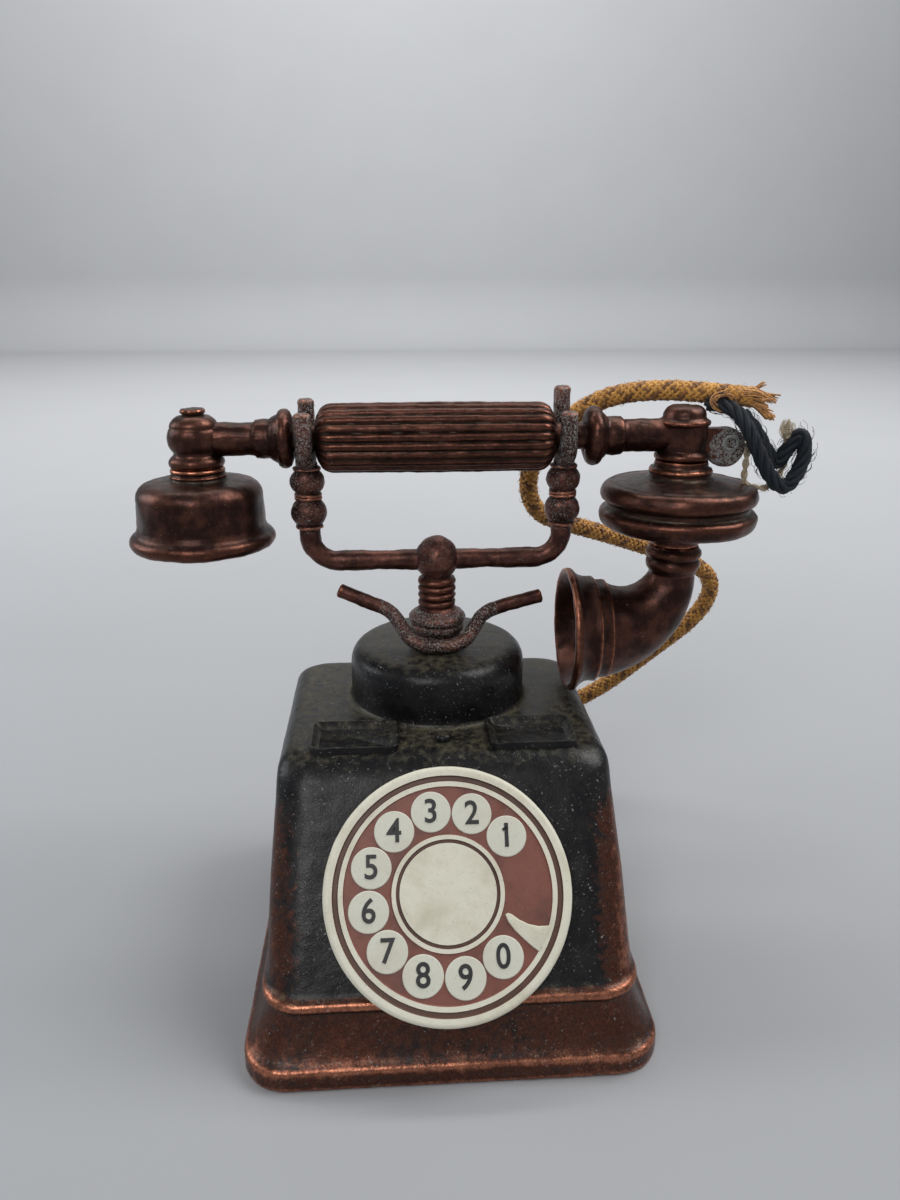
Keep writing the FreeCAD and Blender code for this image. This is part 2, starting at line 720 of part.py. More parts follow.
def mouthpiece_capsule():
    """Grooved drum of the mouthpiece, with a stepped collar above and a short neck below."""
    rim = CAPSULE_R
    solid = turned(Vec(MOUTH_X, TURRET_Y, 0), UP, [
        (0, 49.9),
        (3.1, 49.9),
        (3.3, 51.6),
        (8.2, 52.1),
        ((9.2, 52.4), (rim, 53.5)),
        ((rim - 0.1, 54.3), (rim - 0.8, 54.6)),
        (rim - 0.8, 55.4),
        ((rim - 0.1, 55.7), (rim, 56.5)),
        ((rim - 0.5, 57.4), (8.2, 57.8)),
        (4.6, 58.4),
        (3.7, 58.9),
        (3.7, 60.0),
        (3.3, 60.6),
        (0, 60.6),
    ])
    return solid.cut(rivet_hole(MOUTH_X, 48))


def horn_centre(turn):
    """Centre of the horn's bore as it bends from the neck towards the mouth."""
    reach_x = MOUTH_X - HORN_THROAT_X
    reach_z = HORN_NECK_Z - HORN_Z
    return Vec(HORN_THROAT_X + reach_x * math.cos(turn), TURRET_Y, HORN_NECK_Z - reach_z * math.sin(turn))


def horn_elbow():
    """Bend of the horn, swelling from the neck to the throat."""
    stations = 5
    rings = []
    for i in range(stations + 1):
        share = i / stations
        turn = share * math.pi / 2
        radius = HORN_NECK_R + (HORN_THROAT_R - HORN_NECK_R) * share ** 1.3
        along = Vec(-math.sin(turn), 0, -math.cos(turn))
        rings.append(Part.Wire(Part.makeCircle(radius, horn_centre(turn), along)))
    return Part.makeLoft(rings, True, False)


def mouthpiece_horn():
    """Horn: neck collar, swelling elbow and flared mouth that faces the middle of the handset."""
    neck = turned(Vec(MOUTH_X, TURRET_Y, 0), UP, [
        (0, HORN_NECK_Z - 0.4),
        (HORN_NECK_R, HORN_NECK_Z - 0.4),
        (3.2, HORN_NECK_Z + 0.3),
        ((3.45, HORN_NECK_Z + 1.0), (3.2, HORN_NECK_Z + 1.7)),
        ((3.5, HORN_NECK_Z + 2.4), (3.2, 49.8)),
        (0, 49.8),
    ])
    flare_length = HORN_THROAT_X - HORN_MOUTH_X
    bell = turned(Vec(HORN_THROAT_X, TURRET_Y, HORN_Z), LEFT, [
        (0, -0.3),
        (HORN_THROAT_R, -0.3),
        (6.5, 1.2),
        (6.9, 1.5),
        ((7.2, 3.2), (HORN_MOUTH_R - 0.1, flare_length - 0.9)),
        ((HORN_MOUTH_R, flare_length - 0.4), (HORN_MOUTH_R - 0.1, flare_length)),
        (0, flare_length),
    ])
    hollow = turned(Vec(HORN_THROAT_X, TURRET_Y, HORN_Z), LEFT, [
        (0, -1.6),
        ((3.4, -0.8), (4.9, 0.8)),
        ((5.8, 3.0), (HORN_MOUTH_R - HORN_WALL, flare_length)),
        (HORN_MOUTH_R - HORN_WALL + 0.1, flare_length + 1),
        (0, flare_length + 1),
    ])
    return fuse([neck, horn_elbow(), bell]).cut([hollow, rivet_hole(MOUTH_X, 47.3)])


def cord_sleeve():
    """Braided cord from the knot inside the base, out of the back and up to the lug."""
    return rod(CORD_ROUTE, CORD_R, "cord_sleeve")


def cord_stop_knot():
    """Knot that stops the cord from pulling out of the back wall."""
    ball = Part.makeSphere(KNOT_R, Vec(CORD_X, KNOT_Y, CORD_Z))
    return ball.cut(box(Vec(CORD_X - 4, CORD_ROUTE[0].y, CORD_Z - 4), Vec(CORD_X + 4, 26, CORD_Z + 4)))


def tie_yarn():
    """Core yarn that comes out of the sleeve and hangs in a loop beside the lug."""
    return rod(YARN_ROUTE, YARN_R, "tie_yarn")


def white_thread():
    """Loose end of sewing thread on the lug."""
    return rod(THREAD_ROUTE, THREAD_R, "white_thread")


NODES = {
    "base_shell": base_shell,
    "base_plate": base_plate,
    "sharpener_block": sharpener_block,
    "sharpener_blade": sharpener_blade,
    "blade_screw": blade_screw,
    "dial_disc": dial_disc,
    "dial_clip": dial_clip,
    "cradle": cradle,
    "cradle_washer": cradle_washer,
    "hook_lever": hook_lever,
    "handset_handle": handset_handle,
    "earpiece_cup": earpiece_cup,
    "earpiece_rivet": lambda: rivet(EAR_X, 54.9),
    "mouthpiece_capsule": mouthpiece_capsule,
    "mouthpiece_horn": mouthpiece_horn,
    "mouthpiece_rivet": lambda: rivet(MOUTH_X, 48.0),
    "cord_sleeve": cord_sleeve,
    "cord_stop_knot": cord_stop_knot,
    "tie_yarn": tie_yarn,
    "white_thread": white_thread,
}

os.makedirs("parts", exist_ok=True)
for name, make in NODES.items():
    shape = make()
    extent = shape.BoundBox
    print(name, "valid", shape.isValid(), "solids", len(shape.Solids), "volume", round(shape.Volume, 2),
          "x", round(extent.XMin, 1), round(extent.XMax, 1), "y", round(extent.YMin, 1), round(extent.YMax, 1),
          "z", round(extent.ZMin, 1), round(extent.ZMax, 1))
    shape.exportStep("parts/" + name + ".step")
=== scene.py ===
import json
import logging
import math
import random
from dataclasses import dataclass, field
from enum import Enum
from typing import Callable, Iterable, Sequence

import bmesh
import bpy
from mathutils import Matrix, Vector, noise

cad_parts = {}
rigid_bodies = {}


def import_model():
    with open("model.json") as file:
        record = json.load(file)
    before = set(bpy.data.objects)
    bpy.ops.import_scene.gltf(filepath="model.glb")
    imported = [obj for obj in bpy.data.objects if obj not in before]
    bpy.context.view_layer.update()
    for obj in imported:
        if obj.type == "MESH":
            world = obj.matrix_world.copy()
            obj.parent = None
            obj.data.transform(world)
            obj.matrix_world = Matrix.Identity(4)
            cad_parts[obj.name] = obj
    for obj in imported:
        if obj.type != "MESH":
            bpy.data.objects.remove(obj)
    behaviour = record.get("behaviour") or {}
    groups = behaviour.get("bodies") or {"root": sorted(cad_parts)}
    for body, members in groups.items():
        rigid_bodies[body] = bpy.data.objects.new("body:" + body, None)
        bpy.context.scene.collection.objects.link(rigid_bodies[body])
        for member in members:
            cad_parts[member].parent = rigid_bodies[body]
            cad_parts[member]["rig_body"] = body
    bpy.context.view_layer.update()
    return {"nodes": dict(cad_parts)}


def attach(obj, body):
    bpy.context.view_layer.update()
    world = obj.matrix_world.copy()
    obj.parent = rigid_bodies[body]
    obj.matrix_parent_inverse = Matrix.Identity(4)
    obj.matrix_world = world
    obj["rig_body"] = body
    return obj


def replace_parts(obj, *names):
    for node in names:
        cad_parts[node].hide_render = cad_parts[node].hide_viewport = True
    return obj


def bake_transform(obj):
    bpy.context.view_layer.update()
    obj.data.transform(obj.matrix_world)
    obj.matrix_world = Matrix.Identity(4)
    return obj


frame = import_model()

LOG = logging.getLogger("desk_telephone")

# Shapes are modelled in millimetres and scaled once, when a piece is finished.
MM = 0.001
FULL_TURN = 2 * math.pi
RIGHT = Vector((1, 0, 0))
LEFT = Vector((-1, 0, 0))
UP = Vector((0, 0, 1))
BACK = Vector((0, 1, 0))
CENTRE_Y = 9.8
HANDLE_Z = 63.7
EAR_X = -28.7
MOUTH_X = 30.4

Point = tuple[float, float]
Arc = tuple[Point, Point]
Colour = tuple[float, float, float]
Socket = bpy.types.NodeSocket
Value = Socket | float | Colour


class Body(str, Enum):
    """Bodies of the frame that pieces ride on."""

    BASE = "base"
    DIAL = "dial"
    HANDSET = "handset"


class Slot(str, Enum):
    """Material slots of the record."""

    BLACK_CASTING = "black_casting"
    BRONZED_CASTING = "bronzed_casting"
    BLACK_PLASTIC = "black_plastic"
    CREAM_PLASTIC = "cream_plastic"
    STEEL = "steel"
    GOLD_BRAID = "gold_braid"
    NAVY_YARN = "navy_yarn"
    CREAM_THREAD = "cream_thread"


class Layer(str, Enum):
    """Vertex attributes that the finishes read."""

    WEAR = "wear"
    GRIME = "grime"
    DUST = "dust"
    CRUST = "crust"


# ---- shader helper


class ShaderSheet:
    """A material's node tree, built with short calls."""

    def __init__(self, name: str) -> None:
        """Start a material with one principled shader.

        Args:
            name: Name of the material.
        """
        self.material = bpy.data.materials.new(name)
        self.material.use_nodes = True
        self.tree = self.material.node_tree
        self.shader = self.tree.nodes["Principled BSDF"]
        coordinates = self.tree.nodes.new("ShaderNodeTexCoord")
        in_mm = self.tree.nodes.new("ShaderNodeMapping")
        in_mm.inputs["Scale"].default_value = (1 / MM, 1 / MM, 1 / MM)
        self.link(coordinates.outputs["Object"], in_mm.inputs["Vector"])
        self.place = in_mm.outputs["Vector"]

    def link(self, source: Socket, target: Socket) -> None:
        """Join two sockets."""
        self.tree.links.new(source, target)

    def feed(self, socket: Socket, value: Value) -> None:
        """Set a socket to a number, or link it to another socket.

        Args:
            socket: Socket to set.
            value: Number, colour or socket.
        """
        if isinstance(value, Socket):
            self.link(value, socket)
        elif isinstance(value, tuple) and len(value) == 3 and socket.type == "RGBA":
            socket.default_value = (*value, 1.0)
        else:
            socket.default_value = value

    def noise(
        self, per_mm: float, detail: float = 3.0, rough: float = 0.55, place: Socket | None = None
    ) -> Socket:
        """Noise pattern in object space.

        Args:
            per_mm: Features per millimetre.
            detail: Octaves of finer noise.
            rough: Strength of the finer octaves.
            place: Coordinates to read, or None for the object's own.

        Returns:
            The socket that holds the noise, from 0 to 1.
        """
        node = self.tree.nodes.new("ShaderNodeTexNoise")
        node.inputs["Scale"].default_value = per_mm
        node.inputs["Detail"].default_value = detail
        node.inputs["Roughness"].default_value = rough
        self.link(place or self.place, node.inputs["Vector"])
        return node.outputs["Fac"]

    def stretched(self, scale: Colour) -> Socket:
        """Object coordinates stretched along each axis.

        Args:
            scale: Factor along X, Y and Z.

        Returns:
            The socket of the stretched coordinates.
        """
        node = self.tree.nodes.new("ShaderNodeMapping")
        node.inputs["Scale"].default_value = scale
        self.link(self.place, node.inputs["Vector"])
        return node.outputs["Vector"]

    def layer(self, name: Layer) -> Socket:
        """Value of a vertex attribute.

        Args:
            name: Attribute to read.

        Returns:
            The socket that holds its value.
        """
        node = self.tree.nodes.new("ShaderNodeAttribute")
        node.attribute_name = name.value
        return node.outputs["Fac"]

    def math(self, operation: str, first: Value, second: Value = 0.0, clamp: bool = False) -> Socket:
        """Sum, product or another operation on two values.

        Args:
            operation: Blender's name of the operation.
            first: First value.
            second: Second value.
            clamp: True to keep the result within 0..1.

        Returns:
            The socket that holds the result.
        """
        node = self.tree.nodes.new("ShaderNodeMath")
        node.operation = operation
        node.use_clamp = clamp
        self.feed(node.inputs[0], first)
        self.feed(node.inputs[1], second)
        return node.outputs[0]

    def step(self, value: Socket, low: float, high: float) -> Socket:
        """Smooth step from 0 at low to 1 at high.

        Args:
            value: Socket to read.
            low: Value where the step starts.
            high: Value where it ends.

        Returns:
            The socket that holds the step.
        """
        node = self.tree.nodes.new("ShaderNodeMapRange")
        node.interpolation_type = "SMOOTHSTEP"
        node.inputs["From Min"].default_value = low
        node.inputs["From Max"].default_value = high
        self.link(value, node.inputs["Value"])
        return node.outputs["Result"]

    def spread(self, value: Socket, low: float, high: float) -> Socket:
        """Value from 0..1 spread over low..high.

        Args:
            value: Socket to read.
            low: Result at 0.
            high: Result at 1.

        Returns:
            The socket that holds the result.
        """
        node = self.tree.nodes.new("ShaderNodeMapRange")
        node.inputs["To Min"].default_value = low
        node.inputs["To Max"].default_value = high
        self.link(value, node.inputs["Value"])
        return node.outputs["Result"]

    def mix(self, share: Value, first: Value, second: Value) -> Socket:
        """Blend of two colours.

        Args:
            share: Share of the second colour.
            first: Colour where the share is 0.
            second: Colour where the share is 1.

        Returns:
            The socket of the blended colour.
        """
        node = self.tree.nodes.new("ShaderNodeMix")
        node.data_type = "RGBA"
        colours = [s for s in node.inputs if s.type == "RGBA"]
        self.feed(node.inputs[0], share)
        self.feed(colours[0], first)
        self.feed(colours[1], second)
        return next(s for s in node.outputs if s.type == "RGBA")

    def bump(self, height: Socket, strength: float, distance_mm: float) -> None:
        """Give the shader a bump from a height pattern.

        Args:
            height: Height pattern.
            strength: Strength of the bump.
            distance_mm: Height of the pattern in millimetres.
        """
        node = self.tree.nodes.new("ShaderNodeBump")
        node.inputs["Strength"].default_value = strength
        node.inputs["Distance"].default_value = distance_mm * MM
        self.link(height, node.inputs["Height"])
        self.link(node.outputs["Normal"], self.shader.inputs["Normal"])

    def set(self, **values: Value) -> None:
        """Set or link the shader's sockets, with spaces written as underscores."""
        for name, value in values.items():
            self.feed(self.shader.inputs[name.replace("_", " ")], value)


# ---- finishes


@dataclass(frozen=True)
class AgedMetal:
    """Cast metal with a dark skin, bare copper on its edges, grime, dust and corrosion.

    Attributes:
        name: Name of the material.
        dark: Colour of the skin in its deepest patches.
        light: Colour of the skin in its lighter patches.
        thin: Colour where the skin is worn thin.
        bare: Colour of the worn metal.
        dust: Colour of the dust on upward faces.
        crust: Colour of the corrosion specks.
        skin_metal: How metallic the skin is.
        skin_rough: Roughness of the skin.
        wear_low: Wear value where bare metal begins to show.
        wear_high: Wear value where only bare metal shows.
        dust_amount: Strength of the dust.
        speck_amount: How many pale specks lie on the skin, from 0 to 1.
        gloss: Specular level of the skin.
    """

    name: str
    dark: Colour
    light: Colour
    thin: Colour = (0.150, 0.060, 0.040)
    bare: Colour = (0.56, 0.22, 0.13)
    dust: Colour = (0.052, 0.048, 0.033)
    crust: Colour = (0.34, 0.35, 0.34)
    skin_metal: float = 0.55
    skin_rough: float = 0.42
    wear_low: float = 0.55
    wear_high: float = 0.95
    dust_amount: float = 0.75
    speck_amount: float = 0.4
    gloss: float = 0.5

    def build(self) -> bpy.types.Material:
        """Build the material's nodes.

        Returns:
            The material.
        """
        s = ShaderSheet(self.name)
        patches = s.step(s.noise(0.35, 4.0, 0.6), 0.38, 0.66)
        fine = s.noise(3.5, 4.0, 0.65)
        medium = s.noise(1.1, 4.0, 0.6)
        skin = s.mix(patches, self.dark, self.light)
        skin = s.mix(s.step(fine, 0.45, 0.75), skin, s.mix(0.5, skin, self.dark))
        edge = s.math("ADD", s.layer(Layer.WEAR), s.spread(medium, -0.34, 0.34))
        thinned = s.step(edge, self.wear_low - 0.32, self.wear_low + 0.05)
        thin_skin = s.mix(s.step(fine, 0.3, 0.7), self.thin, s.mix(0.5, self.thin, self.dark))
        skin = s.mix(thinned, skin, thin_skin)
        worn = s.step(edge, self.wear_low, self.wear_high)
        rubbed = s.mix(s.step(fine, 0.35, 0.7), self.bare, s.mix(0.55, self.bare, self.light))
        colour = s.mix(worn, skin, rubbed)
        grime_edge = s.math("ADD", s.layer(Layer.GRIME), s.spread(medium, -0.25, 0.25))
        grime = s.step(grime_edge, 0.35, 0.9)
        colour = s.mix(s.math("MULTIPLY", grime, 0.8), colour, s.mix(0.6, self.dark, self.dust))
        settled = s.math("ADD", s.layer(Layer.DUST), s.math("MULTIPLY", s.layer(Layer.GRIME), 0.5))
        dusty = s.math("ADD", settled, s.spread(medium, -1.25, 0.65))
        dusty = s.math("MULTIPLY", s.step(dusty, 0.35, 1.15), self.dust_amount)
        colour = s.mix(dusty, colour, self.dust)
        speck_low, speck_high = 0.70 - 0.10 * self.speck_amount, 0.74 - 0.05 * self.speck_amount
        specks = s.step(s.noise(3.0, 3.0, 0.8), speck_low, speck_high)
        sprinkled = s.step(s.noise(0.5, 2.0), 0.40, 0.60)
        specks = s.math("MULTIPLY", specks, sprinkled)
        crusty = s.math("ADD", s.layer(Layer.CRUST), s.spread(s.noise(4.5, 4.0, 0.75), -0.66, 0.54))
        crusty = s.step(crusty, 0.42, 0.58)
        pale = s.math("MAXIMUM", s.math("MULTIPLY", specks, 0.75), s.math("MULTIPLY", crusty, 0.85))
        colour = s.mix(pale, colour, self.crust)
        metal = s.math("MULTIPLY", s.spread(thinned, self.skin_metal, 1.0), s.spread(pale, 1.0, 0.1))
        metal = s.math("MULTIPLY", metal, s.spread(dusty, 1.0, 0.25))
        rough = s.math("ADD", s.spread(fine, -0.12, 0.14), s.spread(worn, self.skin_rough, 0.30))
        rough = s.math("ADD", rough, s.math("MULTIPLY", s.math("MAXIMUM", pale, dusty), 0.3), clamp=True)
        s.set(Base_Color=colour, Metallic=metal, Roughness=rough, Specular_IOR_Level=self.gloss)
        height = s.math("ADD", s.math("MULTIPLY", fine, 0.6), s.math("MULTIPLY", crusty, 1.2))
        s.bump(height, 0.45, 0.12)
        return s.material


@dataclass(frozen=True)
class MouldedPlastic:
    """Old moulded or printed plastic with stains, specks and a soft gloss.

    Attributes:
        name: Name of the material.
        base: Main colour.
        stain: Colour of the stains.
        speck: Colour of the specks.
        rough: Mean roughness.
        stain_amount: Share of the stain where it is strongest.
    """

    name: str
    base: Colour
    stain: Colour
    speck: Colour
    rough: float = 0.45
    stain_amount: float = 0.6

    def build(self) -> bpy.types.Material:
        """Build the material's nodes.

        Returns:
            The material.
        """
        s = ShaderSheet(self.name)
        broad = s.step(s.noise(0.22, 5.0, 0.62), 0.42, 0.75)
        fine = s.noise(2.6, 5.0, 0.65)
        colour = s.mix(s.math("MULTIPLY", broad, self.stain_amount), self.base, self.stain)
        colour = s.mix(s.math("MULTIPLY", s.step(fine, 0.5, 0.8), 0.35), colour, self.stain)
        dirt = s.step(s.noise(5.5, 2.0, 0.6), 0.66, 0.74)
        colour = s.mix(s.math("MULTIPLY", dirt, 0.6), colour, self.speck)
        s.set(Base_Color=colour, Roughness=s.spread(fine, self.rough - 0.12, self.rough + 0.16))
        s.bump(fine, 0.25, 0.05)
        return s.material


@dataclass(frozen=True)
class TurnedMetal:
    """Bare machined or stamped metal with fine tool marks.

    Attributes:
        name: Name of the material.
        base: Colour of the metal.
        tarnish: Colour of the tarnish.
        marks: Stretch of the tool marks along X, Y and Z.
        rough: Mean roughness.
    """

    name: str
    base: Colour
    tarnish: Colour
    marks: Colour
    rough: float = 0.34

    def build(self) -> bpy.types.Material:
        """Build the material's nodes.

        Returns:
            The material.
        """
        s = ShaderSheet(self.name)
        lines = s.noise(1.0, 3.0, 0.6, s.stretched(self.marks))
        blotch = s.step(s.noise(0.5, 4.0, 0.6), 0.4, 0.75)
        colour = s.mix(s.math("MULTIPLY", blotch, 0.6), self.base, self.tarnish)
        s.set(
            Base_Color=colour,
            Metallic=1.0,
            Roughness=s.spread(s.math("ADD", lines, blotch), self.rough - 0.08, self.rough + 0.14),
        )
        s.bump(lines, 0.3, 0.03)
        return s.material


@dataclass(frozen=True)
class Fibre:
    """Textile fibre with fine hairs, painted light and shade across the hairs, broad colour variation and
    sheen.

    Attributes:
        name: Name of the material.
        dark: Painted shade: colour of the fibres as if in the hollows.
        light: Painted light: colour of the lit fibres.
        sheen: Strength of the fibres' sheen.
        hairs: Hairs per millimetre.
    """

    name: str
    dark: Colour
    light: Colour
    sheen: float = 0.35
    hairs: float = 7.0

    def build(self) -> bpy.types.Material:
        """Build the material's nodes.

        Returns:
            The material.
        """
        s = ShaderSheet(self.name)
        hairs = s.noise(self.hairs, 4.0, 0.7)
        broad = s.noise(0.55, 3.0)
        # Painted light and shade: fine hair noise, shifted by a broad noise, blends the shaded colour with
        # the lit one.
        share = s.step(s.math("ADD", hairs, s.spread(broad, -0.18, 0.18)), 0.34, 0.68)
        s.set(
            Base_Color=s.mix(share, self.dark, self.light),
            Roughness=s.spread(hairs, 0.62, 0.92),
            Sheen_Weight=self.sheen,
            Sheen_Roughness=0.5,
        )
        s.bump(hairs, 0.6, 0.08)
        return s.material


@dataclass(frozen=True)
class Backdrop:
    """Matt studio paper, nearly even.

    Attributes:
        name: Name of the material.
        shade: Colour of the paper.
    """

    name: str = "studio_paper"
    shade: Colour = (0.315, 0.324, 0.340)

    def build(self) -> bpy.types.Material:
        """Build the material's nodes.

        Returns:
            The material.
        """
        s = ShaderSheet(self.name)
        cloud = s.noise(0.012, 2.0)
        paler = tuple(min(1.0, c * 1.06) for c in self.shade)
        s.set(Base_Color=s.mix(cloud, self.shade, paler), Roughness=0.85, Specular_IOR_Level=0.2)
        return s.material


BLACK_PAINT = AgedMetal(
    "black_paint_over_copper", dark=(0.0045, 0.0045, 0.0055), light=(0.013, 0.012, 0.012),
    dust=(0.085, 0.075, 0.046), skin_metal=0.10, skin_rough=0.30, wear_low=0.70, wear_high=1.10,
    dust_amount=0.72, speck_amount=0.9, gloss=0.28,
)
BRONZED = AgedMetal(
    "bronzed_casting", dark=(0.032, 0.014, 0.011), light=(0.105, 0.042, 0.029),
    skin_metal=0.85, skin_rough=0.33, wear_low=0.52, wear_high=1.05, dust_amount=0.42, speck_amount=0.3,
)
CRADLE_BRONZE = AgedMetal(
    "cradle_bronze", dark=(0.045, 0.018, 0.014), light=(0.165, 0.066, 0.048),
    skin_metal=0.80, skin_rough=0.38, wear_low=0.50, wear_high=1.05, dust_amount=0.30, speck_amount=0.6,
)
CREAM = MouldedPlastic(
    "cream_dial_plastic", base=(0.66, 0.64, 0.53), stain=(0.47, 0.43, 0.31), speck=(0.10, 0.07, 0.05),
)
NUMBER_CREAM = MouldedPlastic(
    "cream_number_spots", base=(0.60, 0.60, 0.51), stain=(0.50, 0.44, 0.34), speck=(0.12, 0.09, 0.07),
    stain_amount=0.4,
)
FIELD_RED = MouldedPlastic(
    "red_brown_print", base=(0.190, 0.062, 0.042), stain=(0.100, 0.036, 0.028), speck=(0.30, 0.20, 0.15),
    stain_amount=0.9,
)
RING_BROWN = MouldedPlastic(
    "brown_ring_print", base=(0.100, 0.045, 0.030), stain=(0.045, 0.022, 0.016), speck=(0.2, 0.14, 0.1),
)
INK = MouldedPlastic(
    "black_number_ink", base=(0.012, 0.012, 0.014), stain=(0.030, 0.028, 0.028), speck=(0.10, 0.10, 0.09),
)
BLACK_PLASTIC = MouldedPlastic(
    "black_underside_plastic", base=(0.015, 0.015, 0.016), stain=(0.040, 0.038, 0.034),
    speck=(0.12, 0.11, 0.10), rough=0.5,
)
MAGNESIUM = TurnedMetal("sharpener_magnesium", (0.48, 0.48, 0.47), (0.26, 0.25, 0.24), (0.4, 6.0, 0.4))
STEEL = TurnedMetal("tool_steel", (0.42, 0.42, 0.43), (0.20, 0.17, 0.15), (0.6, 9.0, 0.6), rough=0.28)
GOLD_THREAD = Fibre("golden_braid_thread", dark=(0.26, 0.095, 0.012), light=(0.78, 0.40, 0.075))
DARK_THREAD = Fibre("brown_braid_thread", dark=(0.060, 0.022, 0.006), light=(0.34, 0.14, 0.028))
BRAID_CORE = Fibre("braid_core", dark=(0.030, 0.014, 0.006), light=(0.12, 0.05, 0.012), sheen=0.1)
AMBER_STRAND = Fibre("amber_fray", dark=(0.20, 0.065, 0.010), light=(0.74, 0.36, 0.085), sheen=0.4)
# Near-black fibre for the cap across the cord's torn end: painted shade of the cord's inside.
OPENING_PAINTED_SHADE = Fibre("painted_opening_shade", dark=(0.003, 0.002, 0.002), light=(0.022, 0.010, 0.006), sheen=0.0)
NAVY_WOOL = Fibre("navy_wool", dark=(0.0015, 0.0025, 0.005), light=(0.006, 0.014, 0.024), sheen=0.03)
CREAM_COTTON = Fibre("cream_cotton", dark=(0.30, 0.22, 0.13), light=(0.72, 0.62, 0.45))


Finish = AgedMetal | MouldedPlastic | TurnedMetal | Fibre | Backdrop

# ---- shaping helpers


def arc_points(start: Vector, middle: Vector, end: Vector, pitch: float) -> list[Vector]:
    """Points along the circle through three points, after the first one.

    Args:
        start: First point.
        middle: A point on the arc.
        end: Last point.
        pitch: Longest distance between points.

    Returns:
        The points up to and with the end.
    """
    a, b = middle - start, end - start
    cross = 2 * (a.x * b.y - a.y * b.x)
    if abs(cross) < 1e-6:
        return straight_points(start, middle, pitch) + straight_points(middle, end, pitch)
    centre = start + Vector((
        (b.y * a.length_squared - a.y * b.length_squared) / cross,
        (a.x * b.length_squared - b.x * a.length_squared) / cross,
    ))
    radius = (start - centre).length
    first = math.atan2(start.y - centre.y, start.x - centre.x)
    via = math.atan2(middle.y - centre.y, middle.x - centre.x)
    last = math.atan2(end.y - centre.y, end.x - centre.x)
    sweep = (last - first) % FULL_TURN
    if (via - first) % FULL_TURN > sweep:
        sweep -= FULL_TURN
    count = max(3, math.ceil(abs(sweep) * radius / pitch))
    turns = [first + sweep * i / count for i in range(1, count + 1)]
    return [centre + radius * Vector((math.cos(t), math.sin(t))) for t in turns]


def straight_points(start: Vector, end: Vector, pitch: float) -> list[Vector]:
    """Evenly spaced points along a line, after the first one."""
    count = max(1, math.ceil((end - start).length / pitch))
    return [start.lerp(end, i / count) for i in range(1, count + 1)]


def outline(points: Sequence[Point | Arc], pitch: float) -> list[Vector]:
    """Outline of (radius, height) points; a pair of points is an arc through the first.

    Args:
        points: Corner points and arcs.
        pitch: Longest distance between points of the result.

    Returns:
        The points of the whole outline.
    """
    result = [Vector(points[0])]
    for item in points[1:]:
        if isinstance(item[0], tuple):
            result += arc_points(result[-1], Vector(item[0]), Vector(item[1]), pitch)
        else:
            result += straight_points(result[-1], Vector(item), pitch)
    return result


def smooth_path(points: Sequence[Vector], steps: int = 12) -> list[Vector]:
    """Points of a smooth line through given control points.

    Args:
        points: Control points in millimetres.
        steps: Points for each control point.

    Returns:
        Points read from a spline with those control points.
    """
    curve = bpy.data.curves.new("path", "CURVE")
    curve.dimensions = "3D"
    add_nurbs(curve, points, steps)
    carrier = bpy.data.objects.new("path", curve)
    mesh = bpy.data.meshes.new_from_object(carrier)
    line = [v.co.copy() for v in mesh.vertices]
    bpy.data.objects.remove(carrier)
    bpy.data.meshes.remove(mesh)
    bpy.data.curves.remove(curve)
    return line


def add_nurbs(curve: bpy.types.Curve, points: Sequence[Vector], steps: int) -> bpy.types.Spline:
    """Add one open spline that starts and ends at its end points.

    Args:
        curve: Curve that takes the spline.
        points: Control points.
        steps: Divisions between control points.

    Returns:
        The spline.
    """
    spline = curve.splines.new("NURBS")
    spline.points.add(len(points) - 1)
    for slot, place in zip(spline.points, points):
        slot.co = (*place, 1.0)
    spline.order_u = 3
    spline.use_endpoint_u = True
    spline.resolution_u = steps
    return spline


def even_path(line: Sequence[Vector], pitch: float) -> list[Vector]:
    """The same line with points an even distance apart.

    Args:
        line: Points of the line.
        pitch: Wanted distance between points.

    Returns:
        Evenly spaced points, with both ends.
    """
    lengths = [0.0]
    for a, b in zip(line, line[1:]):
        lengths.append(lengths[-1] + (b - a).length)
    count = max(2, round(lengths[-1] / pitch))
    result, j = [], 0
    for i in range(count + 1):
        wanted = lengths[-1] * i / count
        while j < len(line) - 2 and lengths[j + 1] < wanted:
            j += 1
        span = lengths[j + 1] - lengths[j]
        result.append(line[j].lerp(line[j + 1], (wanted - lengths[j]) / span if span else 0.0))
    return result


def stations(line: Sequence[Vector]) -> list[Matrix]:
    """Untwisted frames along a line, each with its Z axis along it.

    Args:
        line: Points of the line.

    Returns:
        One matrix for each point.
    """
    frames = []
    turn = None
    for i, place in enumerate(line):
        along = (line[min(i + 1, len(line) - 1)] - line[max(i - 1, 0)]).normalized()
        if turn is None:
            turn = UP.rotation_difference(along).to_matrix()
        else:
            turn = (turn @ UP).rotation_difference(along).to_matrix() @ turn
        frames.append(Matrix.Translation(place) @ turn.to_4x4())
    return frames


